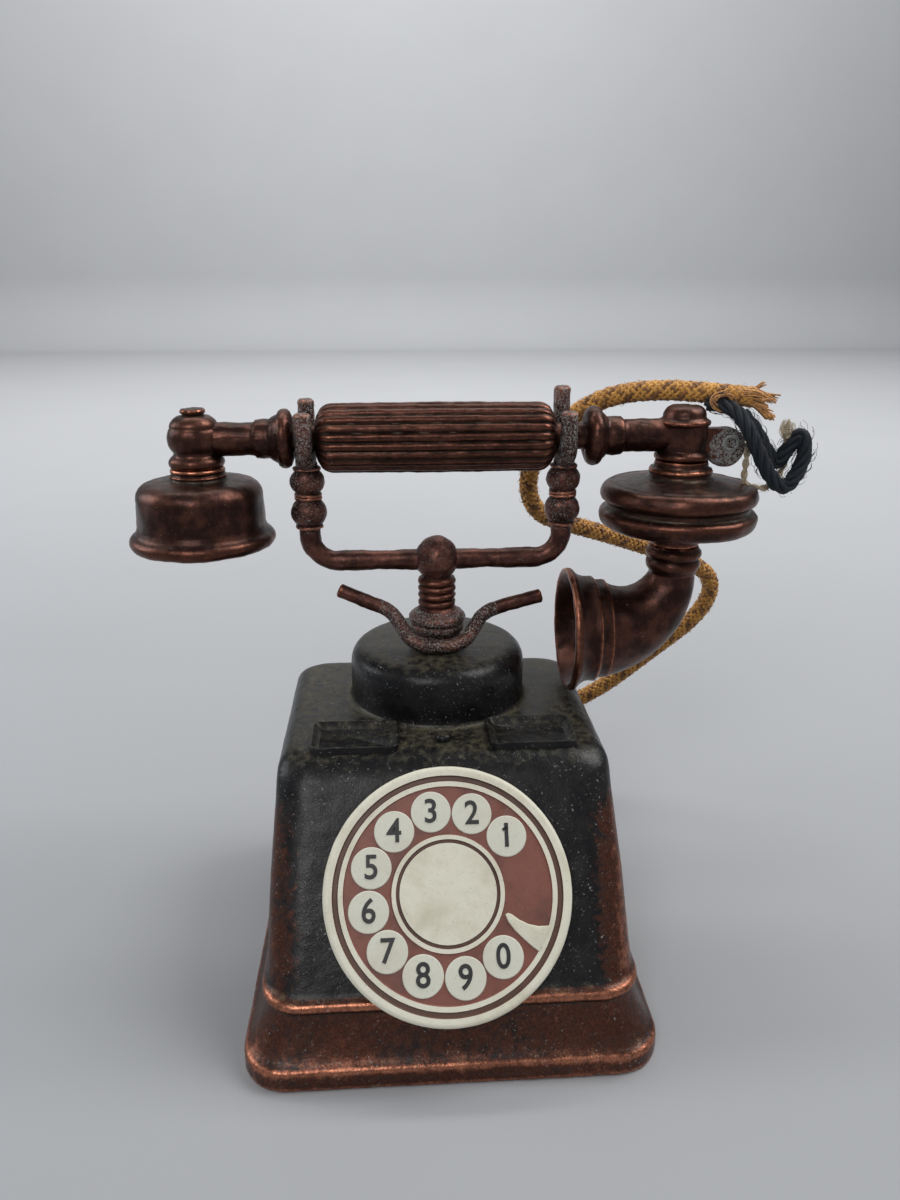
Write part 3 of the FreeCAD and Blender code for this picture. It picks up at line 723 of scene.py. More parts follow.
class Workpiece:
    """One piece being shaped, in millimetres."""

    def __init__(self, pitch: float = 0.5) -> None:
        """Start an empty piece.

        Args:
            pitch: Longest distance between points of an outline.
        """
        self.bm = bmesh.new()
        self.pitch = pitch

    def turned(
        self,
        origin: Vector,
        axis: Vector,
        points: Sequence[Point | Arc],
        steps: int = 96,
    ) -> list[bmesh.types.BMVert]:
        """Add a turned shape.

        Args:
            origin: Point on the axis that heights are measured from.
            axis: Direction of the axis.
            points: Outline of (radius, height).
            steps: Divisions of the full turn.

        Returns:
            The new vertices.
        """
        old = set(self.bm.verts)
        side = axis.orthogonal().normalized()
        if abs(axis.z) > 0.5:
            side = (BACK - BACK.dot(axis) * axis).normalized()
        verts = [
            self.bm.verts.new(origin + side * p.x + axis * p.y) for p in outline(points, self.pitch)
        ]
        edges = [self.bm.edges.new(pair) for pair in zip(verts, verts[1:])]
        bmesh.ops.spin(
            self.bm, geom=verts + edges, cent=origin, axis=axis, angle=FULL_TURN, steps=steps, use_merge=True
        )
        new = [v for v in self.bm.verts if v not in old]
        bmesh.ops.remove_doubles(self.bm, verts=new, dist=1e-4)
        new = [v for v in self.bm.verts if v not in old]
        faces = list({f for v in new for f in v.link_faces})
        bmesh.ops.recalc_face_normals(self.bm, faces=faces)
        return new

    def swept(self, line: Sequence[Vector], radius: Callable[[float], float], sides: int = 32) -> None:
        """Add a round bar along a line.

        Args:
            line: Points of the line.
            radius: Radius for a share of the line from 0 to 1.
            sides: Divisions round the bar.
        """
        frames = stations(line)
        last = len(line) - 1
        sized = [
            frames[i] @ Matrix.Diagonal((radius(i / last), radius(i / last), 1, 1)) for i in range(last + 1)
        ]
        made = bmesh.ops.create_circle(
            self.bm, cap_ends=False, radius=1.0, segments=sides, matrix=sized[0]
        )
        ring = made["verts"]
        everything = list(ring)
        edges = list({e for v in ring for e in v.link_edges})
        first_edges = edges
        for before, after in zip(sized, sized[1:]):
            grown = bmesh.ops.extrude_edge_only(self.bm, edges=edges)["geom"]
            ring = [g for g in grown if isinstance(g, bmesh.types.BMVert)]
            ring_set = set(ring)
            edges = [
                g for g in grown
                if isinstance(g, bmesh.types.BMEdge) and g.verts[0] in ring_set and g.verts[1] in ring_set
            ]
            bmesh.ops.transform(self.bm, verts=ring, matrix=after @ before.inverted())
            everything += ring
        bmesh.ops.edgeloop_fill(self.bm, edges=first_edges)
        bmesh.ops.edgeloop_fill(self.bm, edges=edges)
        faces = list({f for v in everything for f in v.link_faces})
        bmesh.ops.recalc_face_normals(self.bm, faces=faces)

    def absorb(self, other: "Workpiece") -> None:
        """Take in another piece as a closed shape of its own.

        Args:
            other: Shape to take in, which is used up.
        """
        mesh = bpy.data.meshes.new("absorbed")
        other.bm.to_mesh(mesh)
        other.bm.free()
        self.bm.from_mesh(mesh)
        bpy.data.meshes.remove(mesh)

    def round_ended(self, points: Sequence[Vector], radius: float, blunt: float = 0.35) -> None:
        """Add a wire of one radius along a smooth route, with its two ends rounded over.

        Args:
            points: Control points of the route.
            radius: Radius of the wire.
            blunt: Length of the rounded ends, in radii.
        """
        line = even_path(smooth_path(points), self.pitch)
        length = (len(line) - 1) * (line[1] - line[0]).length
        end = blunt * radius
        fine = [line[0].lerp(line[1], t) for t in (0, 0.02, 0.1, 0.3, 0.6)]
        fine += line[1:-1] + [line[-1].lerp(line[-2], t) for t in (0.6, 0.3, 0.1, 0.02, 0)]
        reach = [0.0]
        for a, b in zip(fine, fine[1:]):
            reach.append(reach[-1] + (b - a).length)
        shares = [r / length for r in reach]

        def width(share: float) -> float:
            """Radius of the wire at a share of its stations.

            Args:
                share: Share of the stations.

            Returns:
                The radius.
            """
            at = shares[min(len(shares) - 1, round(share * (len(fine) - 1)))] * length
            near = min(at, length - at) / end
            return radius * (math.sqrt(max(0.0, 1 - (1 - near) ** 2)) * 0.45 + 0.55 if near < 1 else 1.0)

        self.swept(fine, width)

    def block(self, low: Sequence[float], high: Sequence[float], corner: float, segments: int) -> None:
        """Add a block with rounded upright edges.

        Args:
            low: Lowest corner.
            high: Highest corner.
            corner: Radius of the upright edges.
            segments: Divisions of each corner.
        """
        low, high = Vector(low), Vector(high)
        size = high - low
        place = Matrix.Translation((low + high) / 2) @ Matrix.Diagonal((*size, 1))
        old = set(self.bm.verts)
        bmesh.ops.create_cube(self.bm, size=1.0, matrix=place)
        new = [v for v in self.bm.verts if v not in old]
        upright = [
            e for e in {e for v in new for e in v.link_edges}
            if abs((e.verts[0].co - e.verts[1].co).normalized().z) > 0.9
        ]
        self.rounded(upright, corner, segments)

    def rounded(self, edges: Sequence[bmesh.types.BMEdge], radius: float, segments: int) -> None:
        """Round edges over.

        Args:
            edges: Edges to round.
            radius: Width of the rounding.
            segments: Divisions of the rounding.
        """
        bmesh.ops.bevel(
            self.bm, geom=edges, offset=radius, offset_type="OFFSET", affect="EDGES", segments=segments,
            profile=0.5, material=-1, clamp_overlap=True,
        )

    def dented(self, depth: float, per_mm: float, seed: float = 0.0) -> None:
        """Move every vertex a little along its normal, as an uneven casting's skin lies.

        Args:
            depth: Largest movement.
            per_mm: Dents per millimetre.
            seed: Shift of the pattern.
        """
        self.bm.normal_update()
        shift = Vector((seed, seed * 0.7, -seed))
        for v in self.bm.verts:
            v.co += v.normal * depth * noise.fractal(v.co * per_mm + shift, 0.8, 2.0, 3)

    def aged(
        self,
        crust: Callable[[Vector], float] | None = None,
        reach: float = 0.45,
        rubbed: Callable[[Vector], float] | None = None,
    ) -> None:
        """Write how worn, grimy, dusty and corroded each vertex is.

        Args:
            crust: Amount of corrosion at a place, or None for none.
            reach: Edge radius, in millimetres, that counts as fully worn.
            rubbed: Wear at a place beyond that of its edges, or None for none.
        """
        bm = self.bm
        layers = {name: bm.verts.layers.float.new(name.value) for name in Layer}
        bm.normal_update()
        bm.verts.ensure_lookup_table()
        bm.verts.index_update()
        around = [[e.other_vert(v).index for e in v.link_edges] for v in bm.verts]
        bend = []
        for v in bm.verts:
            total = sum(
                (e.other_vert(v).co - v.co).dot(v.normal) / max(e.calc_length(), 1e-3) ** 2
                for e in v.link_edges
            )
            bend.append(-2 * total / max(1, len(v.link_edges)))
        for _ in range(2):
            bend = [
                0.5 * own + 0.5 * sum(bend[k] for k in near) / max(1, len(near))
                for own, near in zip(bend, around)
            ]
        for v, own in zip(bm.verts, bend):
            share = own * reach
            v[layers[Layer.WEAR]] = min(1.0, min(1.0, max(0.0, share)) + (rubbed(v.co) if rubbed else 0.0))
            v[layers[Layer.GRIME]] = min(1.0, max(0.0, -share * 1.3))
            v[layers[Layer.DUST]] = max(0.0, v.normal.z) ** 1.5
            v[layers[Layer.CRUST]] = crust(v.co) if crust else 0.0

    def finish(
        self, name: str, body: Body, slot: Slot, *finishes: Finish, sharp: float = 50.0
    ) -> bpy.types.Object:
        """Turn the shape into a finished object that rides on a body.

        Args:
            name: Name of the piece.
            body: Body that it rides on.
            slot: The record's material slot; not used.
            finishes: Materials, in the order of the faces' material numbers.
            sharp: Angle in degrees past which an edge is shaded sharp.

        Returns:
            The object.
        """
        bmesh.ops.scale(self.bm, vec=(MM, MM, MM), verts=self.bm.verts)
        mesh = bpy.data.meshes.new(name)
        for f in self.bm.faces:
            f.smooth = True
        self.bm.to_mesh(mesh)
        self.bm.free()
        mesh.set_sharp_from_angle(angle=math.radians(sharp))
        piece = bpy.data.objects.new(name, mesh)
        bpy.context.scene.collection.objects.link(piece)
        for finish in finishes:
            mesh.materials.append(material(finish))
        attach(piece, body.value)
        return piece


MADE: dict[str, bpy.types.Material] = {}


def material(finish: Finish) -> bpy.types.Material:
    """Material of a finish, built once.

    Args:
        finish: Finish to build.

    Returns:
        The material.
    """
    if finish.name not in MADE:
        MADE[finish.name] = finish.build()
    return MADE[finish.name]


def plain_object(piece: Workpiece, name: str) -> bpy.types.Object:
    """Turn a shape into a bare object, still in millimetres, for cutting and joining.

    Args:
        piece: Shape, which is used up.
        name: Name of the object.

    Returns:
        The object.
    """
    mesh = bpy.data.meshes.new(name)
    piece.bm.to_mesh(mesh)
    piece.bm.free()
    result = bpy.data.objects.new(name, mesh)
    bpy.context.scene.collection.objects.link(result)
    return result


class Cut(Enum):
    """What a tool does to the shape that it meets."""

    JOIN = "UNION"
    REMOVE = "DIFFERENCE"


def carved(
    body: bpy.types.Object, tools: Sequence[tuple[Workpiece, Cut]], voxel: float | None = None
) -> Workpiece:
    """Join and cut closed shapes.

    Args:
        body: Shape to start from, which is used up.
        tools: Shapes and what each does.
        voxel: Size of the new skin's facets, or None to keep the faces.

    Returns:
        The result as a new piece.
    """
    used = [body]
    for i, (shape, cut) in enumerate(tools):
        tool = plain_object(shape, f"tool_{i}")
        used.append(tool)
        modifier = body.modifiers.new(f"cut_{i}", "BOOLEAN")
        modifier.operation = cut.value
        modifier.solver = "EXACT"
        modifier.object = tool
    if voxel:
        skin = body.modifiers.new("skin", "REMESH")
        skin.mode = "VOXEL"
        skin.voxel_size = voxel
    mesh = bpy.data.meshes.new_from_object(body.evaluated_get(bpy.context.evaluated_depsgraph_get()))
    for item in used:
        bpy.data.objects.remove(item)
    result = Workpiece()
    result.bm.from_mesh(mesh)
    return result


def thread_mesh(lines: Iterable[Sequence[Vector]], radius: float, steps: int = 1) -> bpy.types.Mesh:
    """Mesh of many thin round threads.

    Args:
        lines: Points of each thread.
        radius: Radius of a thread.
        steps: Divisions of a quarter of the round.

    Returns:
        One mesh with every thread.
    """
    curve = bpy.data.curves.new("threads", "CURVE")
    curve.dimensions = "3D"
    curve.bevel_depth = radius
    curve.bevel_resolution = steps
    curve.use_fill_caps = True
    for line in lines:
        spline = curve.splines.new("POLY")
        spline.points.add(len(line) - 1)
        for slot, place in zip(spline.points, line):
            slot.co = (*place, 1.0)
        spline.use_smooth = True
    carrier = bpy.data.objects.new("threads", curve)
    mesh = bpy.data.meshes.new_from_object(carrier)
    bpy.data.objects.remove(carrier)
    bpy.data.curves.remove(curve)
    return mesh


# ---- stage and camera


@dataclass
class Studio:
    """Pale floor that sweeps up behind, soft lights and the camera.

    Attributes:
        camera_place: Where the camera stands, in metres.
        view: Direction that it looks in.
        lens: Focal length in millimetres.
        wall_y: Distance to the wall, in metres.
        half_width: Half width of the floor.
        front_y: Front edge of the floor.
        wall_top: Height of the wall.
        bend: Radius where the floor turns up.
    """

    camera_place: tuple[float, float, float] = (-0.00537, -0.09926, 0.0805)
    view: tuple[float, float, float] = (0.0610, 0.9435, -0.3256)
    lens: float = 27.0
    wall_y: float = 1.30
    half_width: float = 2.2
    front_y: float = -1.2
    wall_top: float = 1.6
    bend: float = 0.10

    def camera(self) -> None:
        """Set up the camera."""
        data = bpy.data.cameras.new("camera")
        data.lens = self.lens
        data.sensor_width = 36.0
        data.clip_start = 0.005
        data.clip_end = 20.0
        camera = bpy.data.objects.new("camera", data)
        camera.location = self.camera_place
        camera.rotation_euler = Vector(self.view).to_track_quat("-Z", "Y").to_euler()
        bpy.context.scene.collection.objects.link(camera)
        bpy.context.scene.camera = camera

    def floor(self) -> None:
        """Make the floor and the wall it turns into, from one extruded edge."""
        bm = bmesh.new()
        ends = [bm.verts.new((side * self.half_width, self.front_y, 0)) for side in (-1, 1)]
        edges = [bm.edges.new(ends)]
        turns = [math.pi / 2 * i / 16 for i in range(17)]
        bend_y = self.wall_y - self.bend
        places = [(self.front_y, 0.0)]
        places += [(bend_y + self.bend * math.sin(t), self.bend * (1 - math.cos(t))) for t in turns]
        places.append((self.wall_y, self.wall_top))
        for (y0, z0), (y1, z1) in zip(places, places[1:]):
            grown = bmesh.ops.extrude_edge_only(bm, edges=edges)["geom"]
            ends = [g for g in grown if isinstance(g, bmesh.types.BMVert)]
            bmesh.ops.translate(bm, verts=ends, vec=(0, y1 - y0, z1 - z0))
            edges = [
                g for g in grown
                if isinstance(g, bmesh.types.BMEdge) and g.verts[0] in ends and g.verts[1] in ends
            ]
        for f in bm.faces:
            f.smooth = True
        bmesh.ops.recalc_face_normals(bm, faces=bm.faces)
        mesh = bpy.data.meshes.new("studio_floor")
        bm.to_mesh(mesh)
        bm.free()
        floor = bpy.data.objects.new("studio_floor", mesh)
        mesh.materials.append(material(Backdrop()))
        bpy.context.scene.collection.objects.link(floor)

    def light(
        self, name: str, place: Colour, target: Colour, size: float, watts: float, tint: Colour
    ) -> None:
        """Hang one soft square light.

        Args:
            name: Name of the light.
            place: Where it hangs, in metres.
            target: Where it points.
            size: Side of the square.
            watts: Power.
            tint: Colour of the light.
        """
        data = bpy.data.lights.new(name, "AREA")
        data.size = size
        data.energy = watts
        data.color = tint
        lamp = bpy.data.objects.new(name, data)
        lamp.location = place
        lamp.rotation_euler = (Vector(target) - Vector(place)).to_track_quat("-Z", "Y").to_euler()
        bpy.context.scene.collection.objects.link(lamp)

    def build(self) -> None:
        """Build the floor, the lights and the camera."""
        self.camera()
        self.floor()
        middle = (0.0, 0.0, 0.04)
        self.light("wall_light", (0.0, 0.45, 0.95), (0.0, self.wall_y, 0.40), 0.9, 21.0, (1.0, 0.985, 0.965))
        self.light("key_light", (0.38, 0.02, 0.52), middle, 0.34, 2.5, (1.0, 0.99, 0.97))
        self.light("front_light", (-0.20, -0.52, 0.46), middle, 0.26, 1.5, (1.0, 0.99, 0.98))
        self.light("left_light", (-0.46, 0.10, 0.24), middle, 0.24, 0.7, (0.96, 0.98, 1.0))
        world = bpy.data.worlds.new("studio_air")
        world.use_nodes = True
        air = world.node_tree.nodes["Background"]
        air.inputs["Color"].default_value = (0.86, 0.89, 0.93, 1)
        air.inputs["Strength"].default_value = 0.34
        bpy.context.scene.world = world
        bpy.context.scene.view_settings.view_transform = "Standard"


# ---- cords


@dataclass
class BraidedCord:
    """Golden braided cord from the back wall up to the handset's lug.

    Attributes:
        diameter: Diameter over the braid, in millimetres.
        carriers: Threads that wind each way.
        lead: Length of one turn of a thread.
        weave: How far a thread rises over the one it crosses.
        thread: Radius of a thread.
        route: Control points of the centre line.
        exit: Where the cord leaves the back wall.
        opening: Middle of the torn opening at the cord's end.
        low_z: Height in millimetres below which the cord would stay with the base; not used.
        high_z: Height in millimetres above which it would go with the handset; not used.
    """

    diameter: float = 2.5
    carriers: int = 8
    lead: float = 6.6
    weave: float = 0.12
    thread: float = 0.26
    route: list[Colour] = field(default_factory=lambda: [
        (9.0, 20.4, 14.0), (9.1, 26.0, 14.0), (10.3, 31.6, 13.6), (15.2, 35.8, 13.0), (21.6, 36.6, 13.9),
        (28.5, 35.0, 18.3), (36.2, 33.6, 25.6), (42.7, 32.4, 31.6), (44.6, 31.5, 37.6), (40.0, 31.0, 41.3),
        (33.4, 29.7, 43.6), (26.6, 27.6, 46.3), (20.2, 25.8, 48.5), (15.0, 24.2, 50.4), (12.9, 22.4, 55.0),
        (14.2, 21.0, 60.2), (17.8, 19.4, 64.6), (22.4, 16.9, 67.7), (27.6, 14.4, 68.7), (33.2, 12.2, 68.6),
        (38.6, 9.4, 68.2),
    ])
    exit: Colour = (9.0, 22.3, 14.0)
    opening: Vector = field(default_factory=lambda: Vector((34.9, 9.75, 67.7)))
    low_z: float = 12.0
    high_z: float = 66.5

    def blend(self, piece: bpy.types.Object) -> None:
        """Bake the piece's placement into its mesh."""
        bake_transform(piece)

    def threads(self, line: Sequence[Vector], way: int, dark: bool) -> list[list[Vector]]:
        """Lines of the threads that wind one way.

        Args:
            line: Points of the cord's centre.
            way: 1 or -1, the way the threads wind.
            dark: True for the dark threads, False for the golden ones.

        Returns:
            The points of each thread.
        """
        frames = stations(line)
        step = (line[1] - line[0]).length
        middle = self.diameter / 2 - self.thread
        result = []
        for carrier in range(self.carriers):
            if (carrier % 4 == 0) != dark:
                continue
            points = []
            for i, frame_here in enumerate(frames):
                wound = FULL_TURN * i * step / self.lead
                turn = way * wound + FULL_TURN * carrier / self.carriers
                out = middle + way * self.weave * math.cos(self.carriers * wound)
                points.append(frame_here @ Vector((out * math.cos(turn), out * math.sin(turn), 0)))
            result.append(points)
        return result

    def hairs(self, line: Sequence[Vector], count: int, chance: random.Random) -> list[list[Vector]]:
        """Short loose fibres that stand off the braid.

        Args:
            line: Points of the cord's centre.
            count: Number of fibres.
            chance: Seeded random numbers.

        Returns:
            The points of each fibre.
        """
        frames = stations(line)
        result = []
        for _ in range(count):
            here = frames[chance.randrange(4, len(frames) - 4)]
            turn = chance.uniform(0, FULL_TURN)
            reach = chance.uniform(0.6, 1.5)
            lean = chance.uniform(-0.9, 0.9)
            rise = chance.uniform(0.12, 0.42)
            swing = chance.uniform(-0.7, 0.7)
            points = []
            for i in range(5):
                share = i / 4
                out = self.diameter / 2 - 0.1 + rise * math.sin(share * 2.4)
                angle = turn + swing * share
                place = Vector((out * math.cos(angle), out * math.sin(angle), lean * reach * share))
                points.append(here @ place)
            result.append(points)
        return result

    def build(self) -> None:
        curve = bpy.data.curves.new("cord_line", "CURVE")
        curve.dimensions = "3D"
        add_nurbs(curve, [Vector(p) for p in self.route], 24)
        carrier = bpy.data.objects.new("cord_line", curve)
        mesh = bpy.data.meshes.new_from_object(carrier)
        line = even_path([v.co.copy() for v in mesh.vertices], 0.32)
        bpy.data.objects.remove(carrier)
        piece = Workpiece()
        shades = [GOLD_THREAD, DARK_THREAD, BRAID_CORE]
        for dark in (False, True):
            for way in (1, -1):
                start = len(piece.bm.faces)
                piece.bm.from_mesh(thread_mesh(self.threads(line, way, dark), self.thread))
                piece.bm.faces.ensure_lookup_table()
                for f in piece.bm.faces[start:]:
                    f.material_index = int(dark)
        start = len(piece.bm.faces)
        piece.bm.from_mesh(thread_mesh([line], self.diameter / 2 - 2 * self.thread + 0.06, 3))
        piece.bm.faces.ensure_lookup_table()
        for f in piece.bm.faces[start:]:
            f.material_index = 2
        braid = piece.finish("cord_braid", Body.BASE, Slot.GOLD_BRAID, *shades, sharp=80)
        self.loosen(braid)
        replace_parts(braid, "cord_sleeve")
        chance = random.Random(41)
        fluff = Workpiece()
        fluff.bm.from_mesh(thread_mesh(self.hairs(line, 620, chance), 0.022, 0))
        fluff_piece = fluff.finish("cord_fluff", Body.BASE, Slot.GOLD_BRAID, GOLD_THREAD, sharp=180)
        self.loosen(fluff_piece)
        fray = self.fray(line, chance)
        [c * MM for c in self.exit]

    def loosen(self, piece: bpy.types.Object) -> None:
        """Free a piece from its body and bake its placement into its mesh.

        Args:
            piece: Piece to free.
        """
        piece.parent = None
        if "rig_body" in piece:
            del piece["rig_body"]
        self.blend(piece)

    def fray(self, line: Sequence[Vector], chance: random.Random) -> bpy.types.Object:
        """Amber strands that burst out of the cord's end over the lug, with a near-black cap across the
        opening as painted shade of the cord's inside.

        Args:
            line: Points of the cord's centre.
            chance: Seeded random numbers.

        Returns:
            The piece, which rides on the handset.
        """
        end = stations(line)[-1]
        back = stations(line)[-8]
        strands = []
        for _ in range(18):
            turn = chance.uniform(0, FULL_TURN)
            flare = chance.uniform(0.1, 1.0)
            reach = chance.uniform(1.6, 3.4)
            drop = chance.uniform(0.0, 1.1)
            swing = chance.uniform(-0.5, 0.5)
            curl = chance.uniform(-0.35, 0.35)
            for _ in range(11):
                own_turn = turn + chance.uniform(-0.24, 0.24)
                inner = chance.uniform(0.85, 1.2)
                own_reach = reach * chance.uniform(0.8, 1.15)
                points = [back @ Vector((inner * math.cos(own_turn), inner * math.sin(own_turn), 0))]
                for i in range(1, 8):
                    share = i / 7
                    out = inner + flare * share ** 1.5 + curl * math.sin(share * 4)
                    angle = own_turn + swing * share
                    place = Vector((out * math.cos(angle), out * math.sin(angle), own_reach * share - 0.9))
                    points.append(end @ place - UP * drop * share ** 2)
                strands.append(points)
        for _ in range(14):
            wide, tall = chance.uniform(1.15, 1.7), chance.uniform(0.75, 1.2)
            shift = Vector((chance.uniform(-0.2, 0.2), chance.uniform(-0.5, 0.0), chance.uniform(-0.2, 0.2)))
            first = chance.uniform(0, FULL_TURN)
            loop = []
            for i in range(19):
                turn = first + chance.uniform(4.0, 6.0) * i / 18
                loop.append(self.opening + shift + Vector((wide * math.cos(turn), 0, tall * math.sin(turn))))
            strands.append(even_path(smooth_path(loop, 3), 0.35))
        piece = Workpiece(pitch=0.3)
        piece.bm.from_mesh(thread_mesh(strands, 0.075, 0))
        start = len(piece.bm.faces)
        # Near-black cap across the torn end: painted shade where the inside of the cord would show.
        mouth = [(0, -0.35), ((0.9, -0.2), (1.2, 0.3)), (0, 0.5)]
        piece.turned(self.opening + BACK * 0.15, BACK, mouth, steps=32)
        piece.bm.faces.ensure_lookup_table()
        for f in piece.bm.faces[start:]:
            f.material_index = 1
        return piece.finish("cord_fray", Body.HANDSET, Slot.GOLD_BRAID, AMBER_STRAND, OPENING_PAINTED_SHADE, sharp=180)


@dataclass
class TwistedTie:
    """Yarn or thread of a few plies twisted together, tied at the lug.

    Attributes:
        name: Name of the piece.
        node: CAD node that it stands for.
        slot: The record's material slot.
        finish: Its material.
        route: Control points in millimetres.
        diameter: Diameter over the plies.
        plies: Number of plies.
        lead: Length of one turn of the twist.
        fluff: Number of loose fibres.
        tuft: Number of fibres in the loose end, or 0 for none.
    """

    name: str
    node: str
    slot: Slot
    finish: Fibre
    route: list[Colour]
    diameter: float
    plies: int
    lead: float
    fluff: int
    tuft: int = 0

    def tuft_lines(self, place: Vector, chance: random.Random) -> list[list[Vector]]:
        """Fibres of the loose end, which fan out and curl back.

        Args:
            place: Where the thread ends.
            chance: Seeded random numbers.

        Returns:
            The points of each fibre.
        """
        lines = []
        for _ in range(self.tuft):
            turn = chance.uniform(0, FULL_TURN)
            spread = chance.uniform(0.1, 1.0)
            rise = chance.uniform(0.3, 1.3)
            points = []
            for i in range(6):
                share = i / 5
                out = spread * math.sin(share * 2.2)
                points.append(place + Vector((
                    out * math.cos(turn), 0.5 * out * math.sin(turn), rise * share - 1.4 * (1 - share),
                )))
            lines.append(points)
        return lines

    def build(self, cord: bool) -> bpy.types.Object:
        """Build the tie.

        Args:
            cord: True where the tie is long enough to count as a cord.

        Returns:
            The piece.
        """
        line = even_path(smooth_path([Vector(p) for p in self.route], 16), 0.18)
        frames = stations(line)
        step = (line[1] - line[0]).length
        packing = math.sin(math.pi / self.plies)
        ply = self.diameter / 2 * packing / (1 + packing)
        middle = self.diameter / 2 - ply
        lines = []
        for i in range(self.plies):
            points = []
            for j, here in enumerate(frames):
                turn = FULL_TURN * (j * step / self.lead + i / self.plies)
                points.append(here @ Vector((middle * math.cos(turn), middle * math.sin(turn), 0)))
            lines.append(points)
        piece = Workpiece()
        piece.bm.from_mesh(thread_mesh(lines, ply, 3))
        piece.dented(ply * 0.16, 2.4 / self.diameter)
        chance = random.Random(len(self.name))
        hairs = []
        for _ in range(self.fluff):
            here = frames[chance.randrange(len(frames))]
            turn = chance.uniform(0, FULL_TURN)
            reach = chance.uniform(0.4, 1.1) * self.diameter
            points = []
            for i in range(5):
                share = i / 4
                out = self.diameter * (0.42 + 0.28 * math.sin(share * 2.3))
                angle = turn + share * 0.5
                points.append(here @ Vector((out * math.cos(angle), out * math.sin(angle), reach * share)))
            hairs.append(points)
        if hairs:
            piece.bm.from_mesh(thread_mesh(hairs, self.diameter * 0.014, 0))
        if self.tuft:
            piece.bm.from_mesh(thread_mesh(self.tuft_lines(line[-1], chance), self.diameter * 0.05, 0))
        tie = piece.finish(self.name, Body.HANDSET, self.slot, self.finish, sharp=80)
        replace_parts(tie, self.node)
        length = sum((b - a).length for a, b in zip(line, line[1:]))
        LOG.info("%s of %.1f mm", self.name, length)
        if cord:
            [c * MM for c in self.route[0]]
        return tie


# ---- dial


